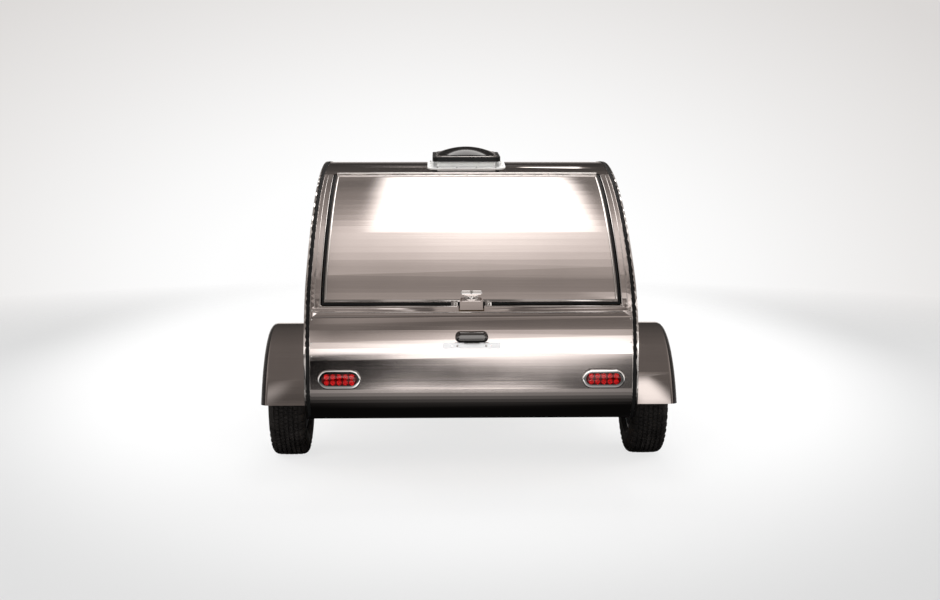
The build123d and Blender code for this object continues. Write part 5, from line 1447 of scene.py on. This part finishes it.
@dataclass
class Underside:
    """Fasteners and grips on the frame, axle, coupler and jack."""

    axle_d: float = 0.960
    rail_x: float = 0.425
    seat_z: float = 0.239
    axle_bolt: HexBolt = HexBolt(0.0075, 0.008)
    axle_pattern: Pair = (0.028, 0.040)
    coupler_ds: Pair = (3.43, 3.56)
    coupler_x: float = 0.0433
    coupler_z: float = 0.290
    coupler_bolt: HexBolt = HexBolt(0.009, 0.009)
    jack_d: float = 3.180
    jack_x: float = -0.128
    plate_x: float = -0.0462
    plate_z: float = 0.284
    plate_bolt: HexBolt = HexBolt(0.006, 0.006)
    plate_pattern: Pair = (0.042, 0.025)
    crank_reach: float = 0.130
    grip_z: float = 0.683
    grip: Section = (
        (0.001, 0.0112), (0.001, 0.0138), (0.006, 0.0150), (0.034, 0.0138), (0.058, 0.0150),
        (0.062, 0.0132), (0.062, 0.0112),
    )

    def bolts(self, name: str, bolt: HexBolt, spots: Iterable[Point], out: Point, up: Point = UP) -> None:
        """Bolts of one size that all face out, at places given as x, d and height."""
        places = [stand((x, SKIN.tail_y + d, z), out, up) for x, d, z in spots]
        mount(copies(bolt.model(), name, places), "trailer", "zinc")

    def build(self) -> None:
        """Makes the fasteners and the crank's grip."""
        hands = (-1, 1)
        dx, dy = self.axle_pattern
        xs = [side.value * self.rail_x + hand * dx for side in Side for hand in hands]
        seats = [(x, self.axle_d + hand * dy, self.seat_z) for x in xs for hand in hands]
        self.bolts("axle_bolts", self.axle_bolt, seats, (0, 0, -1), (0, 1, 0))
        self.neck_bolts()
        dy, dz = self.plate_pattern
        spots = [
            (self.plate_x, self.jack_d + hand * dy, self.plate_z + lift * dz)
            for hand in hands
            for lift in hands
        ]
        self.bolts("jack_bolts", self.plate_bolt, spots, (-1, 0, 0))
        place = Matrix.Translation((self.jack_x, SKIN.tail_y + self.jack_d + self.crank_reach, self.grip_z))
        mount(lathe("crank_grip", self.grip, place, 32), "jack_tube", "black_rubber")

    def neck_bolts(self) -> None:
        """Bolts through both sides of the coupler's channel."""
        places = [
            stand((side.value * self.coupler_x, SKIN.tail_y + d, self.coupler_z), (side.value, 0, 0))
            for side in Side
            for d in self.coupler_ds
        ]
        mount(copies(self.coupler_bolt.model(), "coupler_bolts", places), "trailer", "zinc")


# Studio


@dataclass(frozen=True)
class SoftLight:
    """One soft lamp that metal doesn't mirror: where it stands, where it points, its size and its power."""

    name: str
    spot: Point
    target: Point
    size: Pair
    power: float

    def build(self) -> None:
        """Adds the lamp."""
        data = bpy.data.lights.new(self.name, "AREA")
        data.shape = "RECTANGLE"
        data.size, data.size_y = self.size
        data.energy = self.power
        lamp = bpy.data.objects.new(self.name, data)
        lamp.location = self.spot
        aim = Vector(self.target) - Vector(self.spot)
        lamp.rotation_euler = aim.to_track_quat("-Z", "Y").to_euler()
        lamp.visible_camera = False
        lamp.visible_glossy = False
        bpy.context.collection.objects.link(lamp)


@dataclass(frozen=True)
class Glow:
    """A soft-edged oval or box of light on a card, in the card's own x and y."""

    spot: Pair
    half: Pair
    level: float
    softness: float
    box: bool = False

    def shape(self, tree: Tree, place: Socket) -> Socket:
        """Its light over the card: full inside, falling softly to nothing at its edge."""
        moved = tree.vector("SUBTRACT", place, (*self.spot, 0.0))
        scaled = tree.vector("MULTIPLY", moved, (1 / self.half[0], 1 / self.half[1], 0.0))
        if self.box:
            parts = tree.split(tree.vector("ABSOLUTE", scaled))
            away = tree.math("MAXIMUM", parts["X"], parts["Y"])
        else:
            away = tree.length(scaled)
        return tree.remap(away, (1.0 - self.softness, 1.0), (self.level, 0.0), smooth=True)


@dataclass(frozen=True)
class Card:
    """A studio card that polished metal mirrors: a plain tone, with soft shapes of light on it."""

    name: str
    size: Pair
    place: Matrix
    tone: float
    glows: tuple[Glow, ...]
    margin: float = 0.8
    colour: Colour = (1.0, 0.97, 0.95)

    def cover(self, tree: Tree, place: Socket) -> Socket:
        """How much of what lies behind the card it hides: all of it, and less towards its edges."""
        half = (self.size[0] / 2, self.size[1] / 2, 0.0)
        parts = tree.split(tree.vector("SUBTRACT", half, tree.vector("ABSOLUTE", place)))
        return tree.remap(tree.math("MINIMUM", parts["X"], parts["Y"]), (0.0, self.margin))

    def material(self) -> bpy.types.Material:
        """The card's light, laid over what lies behind it, or only added to it without a tone."""
        made = bpy.data.materials.new(self.name)
        made.use_nodes = True
        tree = Tree(made.node_tree)
        place = tree.add("TexCoord").outputs["Object"]
        level = tree.add("Value").outputs[0]
        level.default_value = self.tone
        for glow in self.glows:
            level = tree.math("ADD", level, glow.shape(tree, place))
        light = tree.add("Emission", {"Color": (*self.colour, 1), "Strength": level}).outputs[0]
        clear = tree.add("BsdfTransparent").outputs[0]
        if self.tone:
            shown = tree.mix_shaders(self.cover(tree, place), clear, light)
        else:
            shown = tree.add("AddShader", {0: clear, 1: light}).outputs[0]
        tree.add("OutputMaterial", {"Surface": shown})
        return made

    def build(self) -> None:
        """Adds the card, seen in reflections only."""
        obj = primitive(bpy.ops.mesh.primitive_plane_add, (*self.size, 1), size=1)
        obj.matrix_world = self.place
        obj.data.materials.append(self.material())
        obj.name = self.name
        for ray in ("camera", "diffuse", "shadow", "volume_scatter", "transmission"):
            setattr(obj, "visible_" + ray, False)


@dataclass
class Studio:
    """Pale floor and backdrop, soft lamps, the cards that the skin mirrors, and the camera."""

    camera_spot: Point = (-0.151, -7.7205, 1.583)
    camera_turn: Point = (83.33, 0.0, -1.40)
    lens: float = 49.74
    sensor: float = 36.0
    reach: Pair = (0.05, 200.0)
    floor_radius: float = 16.0
    floor_edge: Pair = (4.5, 8.0)
    floor_paint: float = 0.86
    floor_glow: float = 0.75
    pool_spot: Point = (0.0, 3.0, 0.0)
    pool_shape: Point = (0.303, 0.154, 0.0)
    pool_edge: Pair = (0.72, 1.1)
    pool_light: Pair = (1.0, 0.6)
    plain_level: float = 0.75
    mirrored_peak: float = 3.2
    warmth: Colour = (0.0, 0.10, 0.16)
    lamps: tuple[SoftLight, ...] = (
        SoftLight("top_bank", (0.165, 0.4, 4.0), (0.165, -0.6, 0.9), (2.2, 2.2), 90.0),
        SoftLight("key_bank", (-2.6, -6.5, 3.4), (0.0, -1.0, 0.5), (2.6, 1.8), 120.0),
        SoftLight("side_bank_right", (6.0, 0.5, 3.2), (0.6, 0.0, 0.6), (3.4, 2.2), 110.0),
        SoftLight("side_bank_left", (-6.0, 0.5, 3.2), (-0.6, 0.0, 0.6), (3.4, 2.2), 110.0),
        SoftLight("front_bank", (0.5, 7.5, 3.4), (0.0, 1.0, 0.6), (3.4, 2.2), 110.0),
    )
    cards: tuple[Card, ...] = (
        Card("floor_card", (4.8, 18.8), Matrix.Translation((0.0, -8.2, 0.002)), 0.005, (
            Glow((0.6, -3.2), (1.5, 6.3), 1.6, 0.22),
            Glow((0.1, -3.2), (1.55, 6.3), 0.8, 0.3),
            Glow((0.0, 4.12), (0.74, 0.45), 3.0, 0.6, box=True),
            Glow((0.0, 4.75), (2.4, 1.6), 0.62, 1.0),
            Glow((0.45, 2.95), (1.6, 1.1), 0.2, 1.0),
        )),
        Card("softbox", (3.0, 6.4), stand((0.165, 0.83, 4.0), (0, 0, -1), (0, 1, 0)), 0.0, (
            Glow((0.0, 0.27), (0.88, 1.9), 3.4, 0.3, box=True),
            Glow((0.0, -1.2), (1.15, 1.6), 0.7, 1.0),
        )),
        Card("right_card", (1.6, 5.6), stand((2.15, -5.9, 4.4), (-0.2, 0.73, -0.66)), 0.0, (
            Glow((0.0, 0.0), (0.65, 2.6), 1.7, 0.7, box=True),
        )),
        Card("left_card", (1.2, 5.2), stand((-2.45, -5.9, 4.2), (0.25, 0.73, -0.66)), 0.0, (
            Glow((0.0, 0.0), (0.5, 2.4), 0.4, 1.0),
        )),
    )
    low_bands: Section = (
        (-20, 1.0), (-6, 2.8), (7, 3.0), (11, 2.4), (14, 1.7), (18, 1.0), (22, 0.62), (26, 0.32), (30, 0.2),
        (35, 0.3), (39, 0.4), (50, 0.66), (60, 0.58),
    )
    high_bands: Section = (
        (60, 0.58), (68, 0.44), (78, 0.44), (86, 0.6), (90, 0.92), (94, 1.13), (98, 1.3), (106, 1.35),
        (110, 1.05), (115, 0.68), (120, 0.55), (125, 0.45), (132, 0.34), (139, 0.24), (147, 0.32), (151, 0.1),
        (168, 0.04), (173, 0.2), (178, 1.0), (180, 1.0),
    )
    beside_bands: Section = (
        (-20, 1.0), (0, 1.8), (12, 1.0), (22, 0.25), (34, 0.12), (60, 0.2), (105, 0.2), (123, 0.16),
        (150, 0.1), (170, 0.05), (176, 0.9), (180, 1.0),
    )
    bands_middle: float = 0.03
    bands_edge: Pair = (0.112, 0.137)
    sides: Section = ((0.0, 0.9), (0.54, 0.95), (0.62, 0.45), (0.78, 0.35), (1.0, 0.7))
    sides_edge: Pair = (0.3, 0.7)
    skew_from: float = 0.02
    left_skew: float = 95.0
    backdrop: Section = ((0.0, 1.0), (0.25, 1.0), (0.33, 0.96), (0.5, 0.84), (0.69, 0.71), (1.0, 0.7))
    backdrop_spread: Point = (1.43, 0.0, 2.3)
    backdrop_drop: float = 0.116

    def tones(self, tree: Tree, share: Socket, stops: Sequence[Pair]) -> Socket:
        """Tone by a share from 0 to 1, warmer where it is darker."""
        node = tree.add("ValToRGB", {"Fac": share})
        elements = node.color_ramp.elements
        while len(elements) < len(stops):
            elements.new(0.5)
        for element, (spot, level) in zip(elements, stops):
            element.position = spot
            warm = 1.0 - min(1.0, level)
            element.color = (*(level * (1 - loss * warm) for loss in self.warmth), 1)
        return node.outputs["Color"]

    def floor(self) -> None:
        """A wide round floor, white round the object and fading into the backdrop."""
        add = bpy.ops.mesh.primitive_circle_add
        obj = primitive(add, vertices=96, radius=self.floor_radius, fill_type="NGON")
        made = bpy.data.materials.new("floor")
        made.use_nodes = True
        tree = Tree(made.node_tree)
        place = tree.add("TexCoord").outputs["Object"]
        oval = tree.vector("MULTIPLY", tree.vector("SUBTRACT", place, self.pool_spot), self.pool_shape)
        pool = tree.remap(tree.length(oval), self.pool_edge, self.pool_light, smooth=True)
        edge = tree.remap(tree.length(place), self.floor_edge)
        paint = tree.add("BsdfDiffuse", {"Color": (*[self.floor_paint] * 3, 1)}).outputs[0]
        glow = tree.add("Emission", {"Color": (1, 1, 1, 1), "Strength": pool}).outputs[0]
        rays = tree.add("LightPath").outputs
        seen = tree.math("ADD", rays["Is Camera Ray"], rays["Is Glossy Ray"])
        seen = tree.math("ADD", seen, rays["Is Transmission Ray"])
        share = tree.math("MULTIPLY", seen, self.floor_glow, use_clamp=True)
        white = tree.mix_shaders(share, paint, glow)
        clear = tree.add("BsdfTransparent").outputs[0]
        tree.add("OutputMaterial", {"Surface": tree.mix_shaders(edge, white, clear)})
        obj.data.materials.append(made)
        settle(obj, "floor")

    def arc(self, tree: Tree, angle: Socket, bands: Sequence[Pair]) -> Socket:
        """Tone over one stretch of the turn round the cross axis."""
        first, last = bands[0][0], bands[-1][0]
        share = tree.remap(angle, (math.radians(first), math.radians(last)))
        stops = [((turned - first) / (last - first), level / self.mirrored_peak) for turned, level in bands]
        return self.tones(tree, share, stops)

    def mirrored(self, tree: Tree, toward: Socket) -> Socket:
        """What metal mirrors: bands round the trailer's cross axis, and a plain tone out to both sides."""
        parts = tree.split(toward)
        angle = tree.math("ARCTAN2", parts["Z"], tree.math("MULTIPLY", parts["Y"], -1.0))
        left = tree.math("SUBTRACT", self.skew_from, tree.math("MINIMUM", parts["X"], self.skew_from))
        skewed = tree.math("ADD", angle, tree.math("MULTIPLY", left, math.radians(self.left_skew)))
        low = self.arc(tree, skewed, self.low_bands)
        high = self.arc(tree, angle, self.high_bands)
        beside = self.arc(tree, angle, self.beside_bands)
        above = tree.math("GREATER_THAN", angle, math.radians(self.high_bands[0][0]))
        off = tree.math("ABSOLUTE", tree.math("SUBTRACT", parts["X"], self.bands_middle))
        share = tree.remap(off, self.bands_edge, smooth=True)
        bands = tree.mix_colours(share, tree.mix_colours(above, low, high), beside)
        rise = tree.remap(parts["Z"], (-1.0, 1.0))
        plain = self.tones(tree, rise, [(spot, level / self.mirrored_peak) for spot, level in self.sides])
        share = tree.remap(tree.math("ABSOLUTE", parts["X"]), self.sides_edge, smooth=True)
        return tree.mix_colours(share, bands, plain)

    def sky(self) -> None:
        """The backdrop that the camera sees, the bands that metal mirrors, and plain light for the rest."""
        world = bpy.data.worlds.new("studio")
        bpy.context.scene.world = world
        world.use_nodes = True
        tree = Tree(world.node_tree)
        toward = tree.add("TexCoord").outputs["Generated"]
        raised = tree.vector("ADD", toward, (0.0, 0.0, self.backdrop_drop))
        away = tree.length(tree.vector("MULTIPLY", raised, self.backdrop_spread))
        rays = tree.add("LightPath").outputs
        seen = tree.math("ADD", rays["Is Camera Ray"], rays["Is Transmission Ray"], use_clamp=True)
        levels = (
            ((1, 1, 1, 1), self.plain_level),
            (self.mirrored(tree, toward), self.mirrored_peak),
            (self.tones(tree, away, self.backdrop), 1.0),
        )
        plain, sheen, white = (
            tree.add("Background", {"Color": colour, "Strength": strength}).outputs[0]
            for colour, strength in levels
        )
        lit = tree.mix_shaders(rays["Is Glossy Ray"], plain, sheen)
        tree.add("OutputWorld", {"Surface": tree.mix_shaders(seen, lit, white)})

    def camera(self) -> None:
        """The camera where the photograph was taken from."""
        data = bpy.data.cameras.new("camera")
        data.lens = self.lens
        data.sensor_width = self.sensor
        data.clip_start, data.clip_end = self.reach
        obj = bpy.data.objects.new("camera", data)
        obj.location = self.camera_spot
        obj.rotation_euler = [math.radians(angle) for angle in self.camera_turn]
        bpy.context.collection.objects.link(obj)
        bpy.context.scene.camera = obj

    def build(self) -> None:
        """Makes the studio."""
        self.camera()
        self.sky()
        self.floor()
        for piece in (*self.lamps, *self.cards):
            piece.build()
        bpy.context.scene.view_settings.view_transform = "Standard"


def build_trailer() -> None:
    """Builds every sub-assembly in turn."""
    dress_nodes()
    parts: list = [HatchTrim(), TailFittings(), RoofVent(), Mattress(), Underside()]
    for side in Side:
        parts += [Wheel(side), TailLamp(side), DoorTrim(side), FenderTrim(side)]
    for part in parts:
        log.info("building %s", type(part).__name__)
        part.build()


def main() -> None:
    """Builds the studio and the trailer."""
    logging.basicConfig(level=logging.INFO, format="%(message)s")
    Studio().build()
    build_trailer()


if __name__ == "__main__":
    main()
